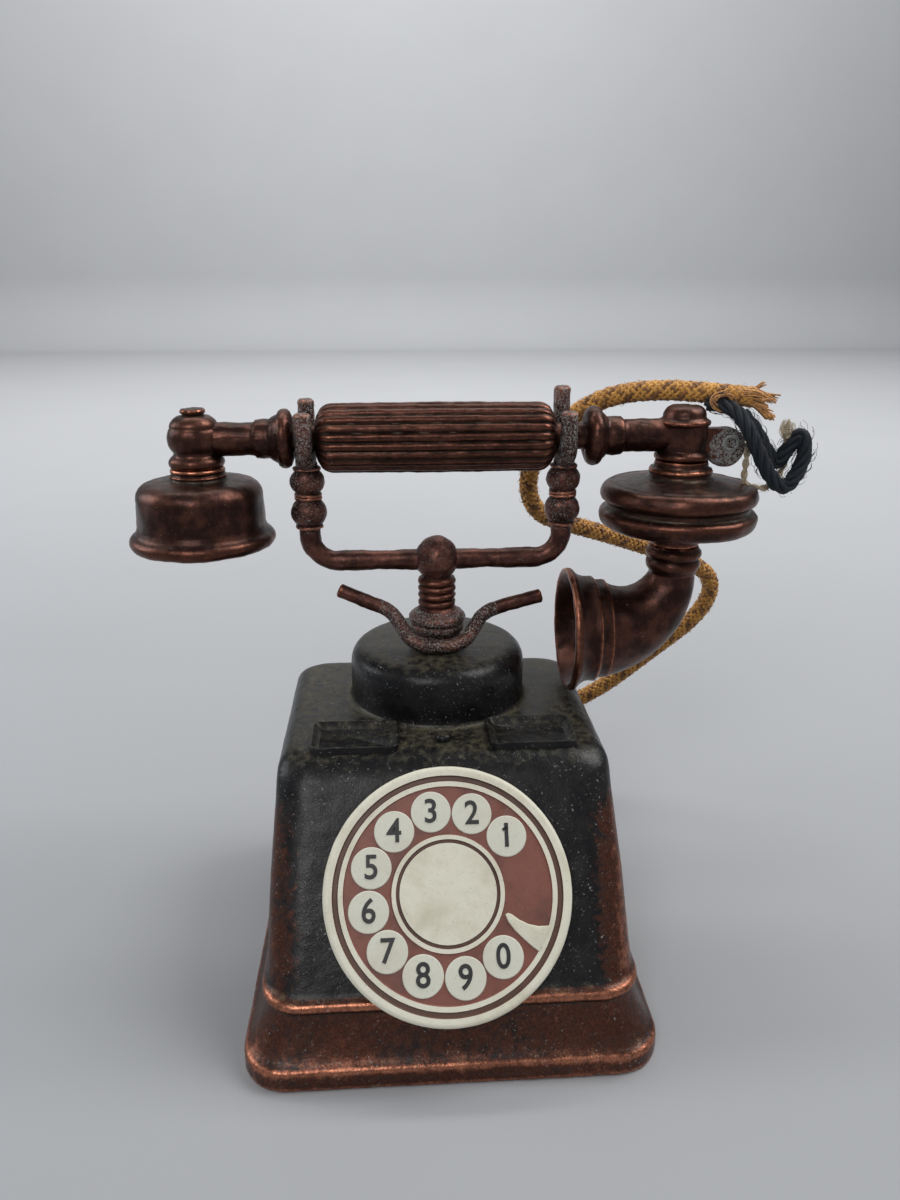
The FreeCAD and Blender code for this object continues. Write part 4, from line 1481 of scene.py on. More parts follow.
@dataclass
class RotaryDial:
    """Dial that turns on the sloping face: rim, printed field, numbers and finger stop.

    Attributes:
        origin: Point of the dial's axis on the sloping face.
        axis: Direction that the dial faces.
        radius: Radius of the disc.
        back: Height of the disc's back over the face.
        front: Height of the printed front over the face.
        spot_ring: Ring that the spots' centres lie on, as a share of the radius.
        spot_share: Radius of a spot, as a share of the dial's.
    """

    origin: Vector = field(default_factory=lambda: Vector((-0.3, -16.294, 17.9)))
    axis: Vector = field(default_factory=lambda: Vector((0, -0.833886, 0.551937)))
    radius: float = 13.5
    back: float = 0.9
    front: float = 2.2
    spot_ring: float = 0.647
    spot_share: float = 0.163

    def place(self) -> Matrix:
        """Matrix from the dial's own frame, facing +Z with +Y up the slope.

        Returns:
            The matrix.
        """
        up = (UP - UP.dot(self.axis) * self.axis).normalized()
        turn = Matrix((up.cross(self.axis), up, self.axis)).transposed()
        return Matrix.Translation(self.origin) @ turn.to_4x4()

    def finish(self, piece: Workpiece, name: str, *finishes: Finish, sharp: float = 40.0) -> bpy.types.Object:
        """Move a shape from the dial's frame to its place and finish it."""
        bmesh.ops.transform(piece.bm, matrix=self.place(), verts=piece.bm.verts)
        return piece.finish(name, Body.DIAL, Slot.CREAM_PLASTIC, *finishes, sharp=sharp)

    def disc(self) -> bpy.types.Object:
        """Turned disc with its raised border and rings, coloured by radius.

        Returns:
            The piece, finished.
        """
        r = self.radius
        low, top = self.back, self.front
        groove = top - 0.16
        piece = Workpiece(pitch=0.45)
        piece.turned(Vector((0, 0, 0)), UP, [
            (0, low), (r - 0.5, low), ((r - 0.1, low + 0.12), (r, low + 0.5)), (r, top - 0.35),
            ((r - 0.12, top - 0.06), (r - 0.5, top + 0.04)), (0.925 * r, top + 0.02), (0.915 * r, groove),
            (0.885 * r, groove), (0.878 * r, top - 0.02), (0.838 * r, top - 0.02), (0.830 * r, groove),
            (0.460 * r, groove), (0.453 * r, top), (0.418 * r, top), (0.411 * r, groove), (0.396 * r, groove),
            (0.389 * r, top - 0.02), (0.2 * r, top), (0, top + 0.02),
        ], steps=160)
        rings = [(0.885, 0.915, 1), (0.460, 0.830, 2), (0.396, 0.411, 1)]
        for f in piece.bm.faces:
            middle = f.calc_center_median()
            share = middle.to_2d().length / r
            if f.normal.z > 0.2 and middle.z > groove - 0.05:
                f.material_index = next((m for a, b, m in rings if a - 0.006 < share < b + 0.006), 0)
        self.chip(piece)
        piece.dented(0.02, 0.9)
        return self.finish(piece, "dial_face", CREAM, RING_BROWN, FIELD_RED)

    def chip(self, piece: Workpiece) -> None:
        """Break small bits out of the printed rings near the upper right.

        Args:
            piece: Disc to chip.
        """
        chips = ((0.93, 0.80, 0.15, 0.55), (0.98, 0.87, 0.12, 0.6), (1.35, 0.90, 0.1, 0.4))
        for turn, share, depth, size in chips:
            spot = Vector((math.cos(turn), math.sin(turn), 0)) * share * self.radius
            for v in piece.bm.verts:
                gap = (v.co.to_2d() - spot.to_2d()).length
                if gap < size and v.co.z > self.front - 0.3:
                    v.co.z -= depth * (1 - gap / size)

    def spot_centres(self) -> list[tuple[str, Vector]]:
        """Numbers and the centres of their spots.

        Returns:
            Each number with its place in the dial's frame.
        """
        spots = []
        first, pitch = 41.0, 29.9
        for i, number in enumerate("1234567890"):
            turn = math.radians(first + pitch * i)
            spots.append((number, Vector((math.cos(turn), math.sin(turn), 0)) * self.spot_ring * self.radius))
        return spots

    def spots(self) -> bpy.types.Object:
        """Ten slightly crowned cream spots.

        Returns:
            The piece, finished.
        """
        r = self.spot_share * self.radius
        piece = Workpiece(pitch=0.4)
        for _, centre in self.spot_centres():
            piece.turned(centre + UP * (self.front - 0.22), UP, [
                (0, 0), (r, 0), (r, 0.12), ((r - 0.04, 0.17), (r - 0.14, 0.19)), (0, 0.24),
            ], steps=40)
        return self.finish(piece, "dial_number_spots", NUMBER_CREAM)

    def numbers(self) -> bpy.types.Object:
        """Black numbers, upright on their spots.

        Returns:
            The piece, finished.
        """
        piece = Workpiece()
        size = self.spot_share * self.radius * 1.62
        for number, centre in self.spot_centres():
            curve = bpy.data.curves.new("number", "FONT")
            curve.body = number
            curve.size = size
            curve.extrude = 0.02
            curve.offset = 0.055
            curve.align_x = "CENTER"
            curve.align_y = "CENTER"
            curve.resolution_u = 6
            carrier = bpy.data.objects.new("number", curve)
            mesh = bpy.data.meshes.new_from_object(carrier)
            width = Matrix.Diagonal((0.92, 1.0, 1.0, 1.0))
            mesh.transform(Matrix.Translation(centre + UP * (self.front + 0.03)) @ width)
            piece.bm.from_mesh(mesh)
            bpy.data.objects.remove(carrier)
            if number == "1":
                self.flag(piece, centre, size)
        bmesh.ops.remove_doubles(piece.bm, verts=piece.bm.verts, dist=1e-4)
        return self.finish(piece, "dial_numbers", INK)

    def flag(self, piece: Workpiece, centre: Vector, size: float) -> None:
        """Short slanting stroke at the head of the 1.

        Args:
            piece: Shape that takes the stroke.
            centre: Centre of the number.
            size: Size of the number.
        """
        flag = Workpiece()
        flag.block((-0.16 * size, -0.045 * size, 0), (0.03 * size, 0.045 * size, 0.04), 0.02, 1)
        head = Matrix.Translation(centre + Vector((0.02 * size, 0.27 * size, self.front + 0.01)))
        slant = Matrix.Rotation(math.radians(32), 4, "Z")
        bmesh.ops.transform(flag.bm, matrix=head @ slant, verts=flag.bm.verts)
        piece.absorb(flag)

    def finger_stop(self) -> bpy.types.Object:
        """Cream wedge that reaches in from the ring, pressed up from one curved face.

        Returns:
            The piece, finished.
        """
        r = self.radius
        lean, ring = -5.0, 0.845
        tip, root_high, root_low = (-19.0, 0.50), (-14.0, ring), (-28.5, ring)
        marks = [
            root_high, (-16.3, 0.76), (-17.2, 0.68), (-16.6, 0.60), (-14.6, 0.53), (-14.5, 0.50),
            (-16.6, 0.482), tip, (-21.5, 0.525), (-25.0, 0.60), (-27.2, 0.70), (-28.2, 0.78), root_low,
            (-24.0, ring), (-19.0, ring),
        ]
        piece = Workpiece()
        verts = []
        for degrees, share in marks:
            turn = math.radians(degrees + lean)
            verts.append(piece.bm.verts.new((
                share * r * math.cos(turn), share * r * math.sin(turn), self.front - 0.2,
            )))
        face = piece.bm.faces.new(verts)
        grown = bmesh.ops.extrude_face_region(piece.bm, geom=[face])["geom"]
        top = [g for g in grown if isinstance(g, bmesh.types.BMVert)]
        bmesh.ops.translate(piece.bm, verts=top, vec=(0, 0, 0.26))
        rim = [e for e in {e for v in top for e in v.link_edges} if all(w in top for w in e.verts)]
        piece.rounded(rim, 0.1, 3)
        bmesh.ops.recalc_face_normals(piece.bm, faces=piece.bm.faces)
        return self.finish(piece, "dial_finger_stop", CREAM)

    def stub(self) -> bpy.types.Object:
        """Stub that the dial turns on, behind the disc and through the face.

        Returns:
            The piece, finished.
        """
        piece = Workpiece(pitch=0.6)
        piece.turned(Vector((0, 0, 0)), UP, [
            (0, -3.2), (1.35, -3.2), (1.45, -3.0), (1.45, self.back + 0.05), (0, self.back + 0.05),
        ], steps=48)
        return self.finish(piece, "dial_stub", CREAM)

    def build(self) -> None:
        """Build every piece of the dial."""
        disc = self.disc()
        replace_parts(disc, "dial_disc")
        for piece in (self.spots(), self.numbers(), self.finger_stop(), self.stub()):
            LOG.info("made %s", piece.name)


# ---- base


@dataclass
class BaseCasting:
    """Hollow base: skirt, ridge, sloping body, turret, two frames and the dial's boss.

    Attributes:
        foot: Half width and half depth of the foot.
        ridge: Half width and half depth at the top of the skirt.
        top_z: Height of the flat top.
        wall: Thickness of the wall.
        voxel: Size of the skin's facets.
        ridge_z: Height of the top of the skirt.
        top_half_x: Half width of the flat top.
        top_front: Front edge of the flat top.
        top_back: Back edge of the flat top.
        shoulder: Radius of the shoulders.
    """

    foot: Point = (22.5, 25.25)
    ridge: Point = (19.9, 22.45)
    ridge_z: float = 8.6
    top_half_x: float = 19.3
    top_front: float = -8.09
    top_back: float = 21.8
    top_z: float = 30.3
    shoulder: float = 2.4
    wall: float = 1.8
    voxel: float = 0.31

    def lofted(self, levels: Sequence[tuple[float, float, float, float]], corner: float) -> Workpiece:
        """Solid raised from one rounded block, face by face.

        Args:
            levels: Height, half width, front and back of each level.
            corner: Radius of the upright corners at the first level.

        Returns:
            The solid.
        """
        piece = Workpiece()
        z0, half, front, back = levels[0]
        piece.block((-half, front, z0), (half, back, z0 + 0.5), corner, 10)
        first_top = max(piece.bm.faces, key=lambda f: f.calc_center_median().z)
        face = first_top
        before = levels[0]
        bmesh.ops.translate(piece.bm, verts=face.verts, vec=(0, 0, levels[1][0] - z0 - 0.5))
        self.reshape(piece, face, before, levels[1])
        for before, after in zip(levels[1:], levels[2:]):
            grown = bmesh.ops.extrude_face_region(piece.bm, geom=[face])["geom"]
            new = next(g for g in grown if isinstance(g, bmesh.types.BMFace))
            bmesh.ops.delete(piece.bm, geom=[face], context="FACES_ONLY")
            face = new
            bmesh.ops.translate(piece.bm, verts=face.verts, vec=(0, 0, after[0] - before[0]))
            self.reshape(piece, face, before, after)
        bmesh.ops.recalc_face_normals(piece.bm, faces=piece.bm.faces)
        return piece

    @staticmethod
    def reshape(
        piece: Workpiece, face: bmesh.types.BMFace, before: Sequence[float], after: Sequence[float]
    ) -> None:
        """Scale and slide a level's face from one outline to the next.

        Args:
            piece: Solid being raised.
            face: Face of the level.
            before: Height, half width, front and back of the last level.
            after: The same of the new level.
        """
        _, half0, front0, back0 = before
        _, half1, front1, back1 = after
        middle = Matrix.Translation((0, (front1 + back1) / 2, 0))
        scale = Matrix.Diagonal((half1 / half0, (back1 - front1) / (back0 - front0), 1, 1))
        home = Matrix.Translation((0, -(front0 + back0) / 2, 0))
        bmesh.ops.transform(piece.bm, verts=face.verts, matrix=middle @ scale @ home)

    def outside(self) -> Workpiece:
        """Outer form from the foot to the rounded shoulders.

        Returns:
            The shape.
        """
        hx, hy = self.foot
        rx, ry = self.ridge
        levels = [(0, hx - 0.15, -hy + 0.15, hy - 0.15), (0.25, hx, -hy, hy), (2.3, hx, -hy, hy)]
        levels += [(2.65, hx - 0.15, -hy + 0.15, hy - 0.15), (2.8, hx - 0.5, -hy + 0.5, hy - 0.5)]
        steps = 8
        for i in range(1, steps + 1):
            share = i / steps
            sink = (1 - share) ** 1.55
            half_x = rx + (hx - 0.6 - rx) * sink
            half_y = ry + (hy - 0.6 - ry) * sink
            levels.append((2.8 + (7.9 - 2.8) * share, half_x, -half_y, half_y))
        stand = 0.5
        for z, out in ((8.05, 0.32), (8.3, stand), (8.85, stand), (9.1, 0.32), (9.25, 0.0)):
            levels.append((z, rx + out, self.front_at(z) - out, ry + out))
        levels.append((9.6, rx - 0.02, self.front_at(9.6), ry - 0.02))
        last = self.top_z - self.shoulder
        for i in range(1, 9):
            z = 9.6 + (last - 9.6) * i / 8
            levels.append((z, self.side_at(z), self.front_at(z), self.back_at(z)))
        for i in range(1, 8):
            turn = math.pi / 2 * i / 7
            z = last + self.shoulder * math.sin(turn)
            inset = self.shoulder * (1 - math.cos(turn))
            front, back = self.front_at(z) + inset * 0.75, self.back_at(z) - inset
            levels.append((z, self.side_at(z) - inset, front, back))
        spread, spread_top, fade = 0.4, 26.0, 8.0
        flared = []
        for z, side, front, back in levels:
            share = min(1.0, max(0.0, (spread_top - z) / fade))
            flared.append((z, side + spread * share, front, back))
        return self.lofted(flared, 5.0)

    def share_up(self, z: float) -> float:
        """Share of the way from the ridge to the top."""
        return (z - self.ridge_z) / (self.top_z - self.ridge_z)

    def front_at(self, z: float) -> float:
        """Place of the sloping front at a height."""
        return -self.ridge[1] + (self.top_front + self.ridge[1]) * max(0.0, self.share_up(z))

    def side_at(self, z: float) -> float:
        """Half width of the body at a height."""
        return self.ridge[0] + (self.top_half_x - self.ridge[0]) * self.share_up(z)

    def back_at(self, z: float) -> float:
        """Place of the back wall at a height."""
        return self.ridge[1] + (self.top_back - self.ridge[1]) * self.share_up(z)

    def inside(self) -> Workpiece:
        """Hollow of the casting, open at the underside.

        Returns:
            The shape.
        """
        w = self.wall
        front_wall = 2.16
        roof = self.top_z - w
        return self.lofted([
            (-1.0, self.foot[0] - w, -self.foot[1] + w, self.foot[1] - w),
            (1.55, self.foot[0] - w - 0.5, -self.foot[1] + w + 0.5, self.foot[1] - w - 0.5),
            (self.ridge_z, self.ridge[0] - w, -self.ridge[1] + w, self.ridge[1] - w),
            (roof, self.top_half_x - w, self.top_front - w * 0.66 + front_wall, self.top_back - w),
        ], 3.3)

    def turret(self) -> Workpiece:
        """Round turret with a crowned top.

        Returns:
            The shape.
        """
        piece = Workpiece(pitch=0.7)
        piece.turned(Vector((0, CENTRE_Y, 0)), UP, [
            (0, 28.0), (11.5, 28.0), ((11.3, 30.6), (11.2, 31.4)), (11.2, 35.1), ((10.5, 36.8), (8.8, 37.42)),
            ((5.0, 37.62), (0, 37.68)),
        ], steps=96)
        return piece

    def frame_rim(self, side: int) -> Workpiece:
        """Raised rectangular frame with rounded corners and a sunk panel.

        Args:
            side: -1 for the left frame, 1 for the right one.

        Returns:
            The shape.
        """
        x, y = side * 10.45, -3.5
        half_x, half_y, rim, height, floor = 5.15, 3.5, 1.05, 0.95, 0.10
        root_z, corner, rounding = 29.2, 1.0, 0.38
        piece = Workpiece()
        low = (x - half_x, y - half_y, root_z)
        piece.block(low, (x + half_x, y + half_y, self.top_z + height), corner, 4)
        top = max(piece.bm.faces, key=lambda f: f.calc_center_median().z)
        bmesh.ops.inset_region(piece.bm, faces=[top], thickness=rim, depth=0.0)
        bmesh.ops.translate(piece.bm, verts=top.verts, vec=(0, 0, floor - height))
        piece.bm.normal_update()
        high = self.top_z + height - 0.05
        rims = [
            e for e in piece.bm.edges
            if e.calc_face_angle(0) > 0.6 and min(v.co.z for v in e.verts) > high
        ]
        piece.rounded(rims, rounding, 5)
        long_edges = [e for e in piece.bm.edges if e.calc_length() > 2.0]
        bmesh.ops.subdivide_edges(piece.bm, edges=long_edges, cuts=9, use_grid_fill=True)
        bmesh.ops.recalc_face_normals(piece.bm, faces=piece.bm.faces)
        return piece

    def boss(self) -> Workpiece:
        """Round seat of the dial on the slope.

        Returns:
            The shape.
        """
        dial = RotaryDial()
        piece = Workpiece(pitch=0.7)
        seat = [(0, -1.2), (8.0, -1.2), (8.0, 0.45), (7.8, 0.6), (0, 0.6)]
        piece.turned(dial.origin, dial.axis, seat, steps=72)
        return piece

    def dot(self) -> Workpiece:
        """Small raised dot between the frames.

        Returns:
            The shape.
        """
        piece = Workpiece(pitch=0.3)
        piece.turned(Vector((0, -4.2, 0)), UP, [
            (0, 29.5), (0.95, 29.5), (0.95, 30.7), ((0.8, 31.0), (0.45, 31.1)), (0, 31.12),
        ], steps=32)
        return piece

    def cutters(self) -> list[Workpiece]:
        """Solids of the hollow, the turret's well, the hole for the dial's stub and two holes behind.

        Returns:
            The cutting shapes.
        """
        dial = RotaryDial()
        well = Workpiece(pitch=2.0)
        well.turned(Vector((0, CENTRE_Y, 0)), UP, [(0, 27.0), (8.6, 27.0), (8.6, 34.3), (0, 34.3)], steps=64)
        pivot = Workpiece(pitch=2.0)
        pivot.turned(dial.origin, dial.axis, [(0, -5.4), (1.6, -5.4), (1.6, 5.4), (0, 5.4)], steps=40)
        collar = Workpiece(pitch=2.0)
        collar.turned(Vector((-8.0, 18.0, 15.0)), BACK, [(0, 0), (5.2, 0), (5.2, 9.0), (0, 9.0)], steps=72)
        hole = Workpiece(pitch=2.0)
        hole.turned(Vector((9.0, 18.0, 14.0)), BACK, [(0, 0), (1.5, 0), (1.5, 9.0), (0, 9.0)], steps=40)
        return [self.inside(), well, pivot, collar, hole]

    def worn_places(self, place: Vector) -> float:
        """Pale corrosion: a little round the turret's foot and the skirt."""
        near_turret = abs((place.to_2d() - Vector((0, CENTRE_Y))).length - 11.3) < 0.8 and place.z > 34.5
        return 0.20 if near_turret else (0.13 if place.z > 33 else 0.05)

    def rubbed(self, place: Vector) -> float:
        """Wear from handling: all over the skirt and down the body's upright corners.

        Args:
            place: Place on the casting.

        Returns:
            Wear to add, or a negative value where the paint is whole.
        """
        x, y, z = place
        patch = 0.5 + 0.5 * noise.noise(place * 0.16)
        if z < 9.4:
            return 0.46 + 0.32 * patch
        unworn = -1.3
        if z > self.top_z - 0.5:
            return unworn
        across = max(0.0, abs(x) - (self.side_at(z) - 5.5)) / 5.5
        along = max(0.0, 1 - abs(y - self.front_at(z)) / 9.0)
        below_shoulder = min(1.0, max(0.0, (28.0 - z) / 4.0))
        corner = across * along * (1.0 if x > 0 else 0.6) * below_shoulder
        low = max(0.0, 1 - (z - 9.4) / 12.0)
        return corner * 0.85 + low * 0.34 * patch + (0.12 * patch if x < -8 else 0.0)

    def build(self) -> None:
        """Join, remesh, cut and age the casting."""
        solid = plain_object(self.outside(), "base_body")
        added = [self.turret(), self.boss()]
        piece = carved(solid, [(shape, Cut.JOIN) for shape in added], self.voxel)
        bmesh.ops.smooth_vert(
            piece.bm, verts=piece.bm.verts, factor=0.35, use_axis_x=True, use_axis_y=True, use_axis_z=True
        )
        piece.dented(0.05, 0.22)
        piece.dented(0.02, 0.9, seed=5.0)
        first, *others = self.cutters()
        hollow = carved(plain_object(first, "base_hollow"), [(shape, Cut.JOIN) for shape in others])
        piece = carved(plain_object(piece, "base_skin"), [(hollow, Cut.REMOVE)])
        for trim in (self.frame_rim(-1), self.frame_rim(1), self.dot()):
            piece.absorb(trim)
        for v in piece.bm.verts:
            v.co.z = max(0.0, v.co.z)
        piece.aged(self.worn_places, reach=0.8, rubbed=self.rubbed)
        casting = piece.finish("base_casting", Body.BASE, Slot.BLACK_CASTING, BLACK_PAINT, sharp=60)
        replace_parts(casting, "base_shell")
        LOG.info("base casting of %d faces", len(casting.data.polygons))


# ---- cradle and levers


@dataclass
class Cradle:
    """Column with ringed neck, ball, yoke arms with beads and two forks.

    Attributes:
        ball_z: Height of the ball.
        yoke_z: Height of the cross rod.
        rod: Radius of the cross rod.
        arm_x: Distance of an arm from the middle.
        elbow: Radius of the elbow.
        fork_rod: Radius of a prong.
        fork_span: Half the space between a fork's prongs.
        front_top: Height of the front prongs.
        rear_top: Height of each side's rear prong.
    """

    ball_z: float = 48.8
    yoke_z: float = 48.4
    rod: float = 1.25
    arm_x: float = 15.7
    elbow: float = 3.4
    fork_rod: float = 1.02
    fork_span: float = 2.8
    front_top: float = 67.0
    rear_top: dict[int, float] = field(default_factory=lambda: {-1: 68.1, 1: 69.4})

    def column(self, piece: Workpiece) -> None:
        """Flared foot, collars, ringed neck and ball.

        Args:
            piece: Shape that takes the column.
        """
        foot = 37.3
        points: list = [
            (0, 33.0), (1.55, 33.0), (1.55, foot), (3.7, foot), ((3.75, foot + 0.5), (3.35, foot + 0.9)),
            ((3.0, foot + 1.3), (3.15, foot + 1.7)), ((3.5, foot + 2.3), (3.3, foot + 2.8)),
            ((3.65, foot + 3.4), (3.2, foot + 4.1)), ((2.5, foot + 4.6), (2.1, foot + 5.0)),
        ]
        ring_z = foot + 5.0
        pitch = 0.95
        for _ in range(4):
            points.append(((2.42, ring_z + pitch / 2), (2.0, ring_z + pitch)))
            ring_z += pitch
        points += [(1.75, ring_z + 0.2), ((2.75, self.ball_z), (0, self.ball_z + 2.6))]
        piece.turned(Vector((0, CENTRE_Y, 0)), UP, points, steps=72)

    def side(self, piece: Workpiece, side: int) -> None:
        """One arm: rod with its elbow, two beads with collars, and the fork.

        Args:
            piece: Shape that takes the arm.
            side: -1 for the left arm, 1 for the right one.
        """
        y, z = CENTRE_Y, self.yoke_z
        inner = self.arm_x - self.elbow
        fork_z = HANDLE_Z - 1.6 - 0.3 + self.fork_span - 1.0
        crotch = fork_z - self.fork_span
        line = straight_points(Vector((0, y, z)), Vector((side * inner, y, z)), 0.5)
        for i in range(1, 13):
            turn = math.pi / 2 * i / 12
            line.append(Vector((
                side * (inner + self.elbow * math.sin(turn)), y, z + self.elbow * (1 - math.cos(turn)),
            )))
        line += straight_points(line[-1], Vector((side * self.arm_x, y, crotch)), 0.5)
        piece.swept(line, lambda share: self.rod * (1.0 + 0.05 * math.sin(share * 21)), sides=28)
        x = side * self.arm_x
        for bead_z, radius, half in ((54.7, 2.2, 1.55), (58.5, 2.1, 1.35)):
            piece.turned(Vector((x, y, bead_z)), UP, [
                (0, -half - 0.5), (1.5, -half - 0.5), ((1.72, -half - 0.25), (1.45, -half)),
                ((radius, 0), (1.45, half)), ((1.72, half + 0.25), (1.5, half + 0.5)), (0, half + 0.5),
            ], steps=40)
        for way, top in ((-1, self.front_top), (1, self.rear_top[side])):
            prong = [Vector((x, y, crotch + 0.1))]
            for i in range(1, 11):
                turn = math.pi / 2 * i / 10
                out, rise = self.fork_span * math.sin(turn), self.fork_span * (1 - math.cos(turn))
                prong.append(Vector((x, y + way * out, crotch + rise)))
            prong += straight_points(prong[-1], Vector((x, prong[-1].y, top - 0.45)), 0.45)
            prong += [Vector((x, prong[-1].y, top - drop)) for drop in (0.25, 0.12, 0.03, 0.0)]
            count = len(prong) - 1

            def width(share: float) -> float:
                """Radius of the prong, rounded over at its tip.

                Args:
                    share: Share of the way along the prong.

                Returns:
                    The radius.
                """
                left = (top - prong[round(share * count)].z) / 0.45
                full = self.fork_rod * (1.12 - 0.16 * share)
                return full * (0.55 + 0.45 * math.sqrt(max(0.0, 1 - (1 - min(left, 1)) ** 2)))

            piece.swept(prong, width, sides=24)

    def corroded(self, place: Vector) -> float:
        """Corrosion: heavy on the forks, the ball, the collars and where the levers touch.

        Args:
            place: Place on the cradle.

        Returns:
            Amount of corrosion.
        """
        if place.z > 60.0:
            return 0.50
        if place.z > 52.0:
            return 0.44
        away = (place.to_2d() - Vector((0, CENTRE_Y))).length
        if away < 3.2 and place.z > 46.2:
            return 0.40
        if place.z < 42.0:
            return 0.50
        return 0.12

    def build(self) -> None:
        """Build and age the cradle."""
        piece = Workpiece(pitch=0.35)
        self.column(piece)
        for side in (-1, 1):
            self.side(piece, side)
        piece.dented(0.09, 0.8)
        piece.dented(0.03, 2.4, seed=3.0)
        piece.aged(self.corroded, reach=0.5)
        casting = piece.finish("cradle_casting", Body.BASE, Slot.BRONZED_CASTING, CRADLE_BRONZE, sharp=70)
        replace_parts(casting, "cradle")


@dataclass
class HookLevers:
    """Wire bent round the front of the column's foot, its two ends raised like hooks.

    Attributes:
        radius: Radius of the wire.
        route: Control points of the wire.
    """

    radius: float = 0.88
    route: list[Colour] = field(default_factory=lambda: [
        (-12.4, 8.8, 44.9), (-9.0, 8.3, 43.5), (-5.9, 7.9, 42.3), (-4.6, 6.6, 40.6), (-3.3, 5.0, 38.9),
        (0.0, 4.6, 38.3), (3.3, 5.0, 38.9), (4.6, 6.6, 40.4), (5.9, 7.9, 41.9), (9.4, 8.4, 42.8),
        (13.3, 8.8, 43.6),
    ])

    def build(self) -> None:
        """Build and age the wire."""
        piece = Workpiece(pitch=0.3)
        piece.round_ended([Vector(p) for p in self.route], self.radius)
        piece.dented(0.06, 0.9, seed=2.0)
        piece.aged(lambda p: 0.48 if abs(p.x) < 7.5 else 0.26, reach=0.4)
        wire = piece.finish("hook_levers", Body.BASE, Slot.BRONZED_CASTING, CRADLE_BRONZE, sharp=70)
        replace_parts(wire, "hook_lever")


# ---- handset


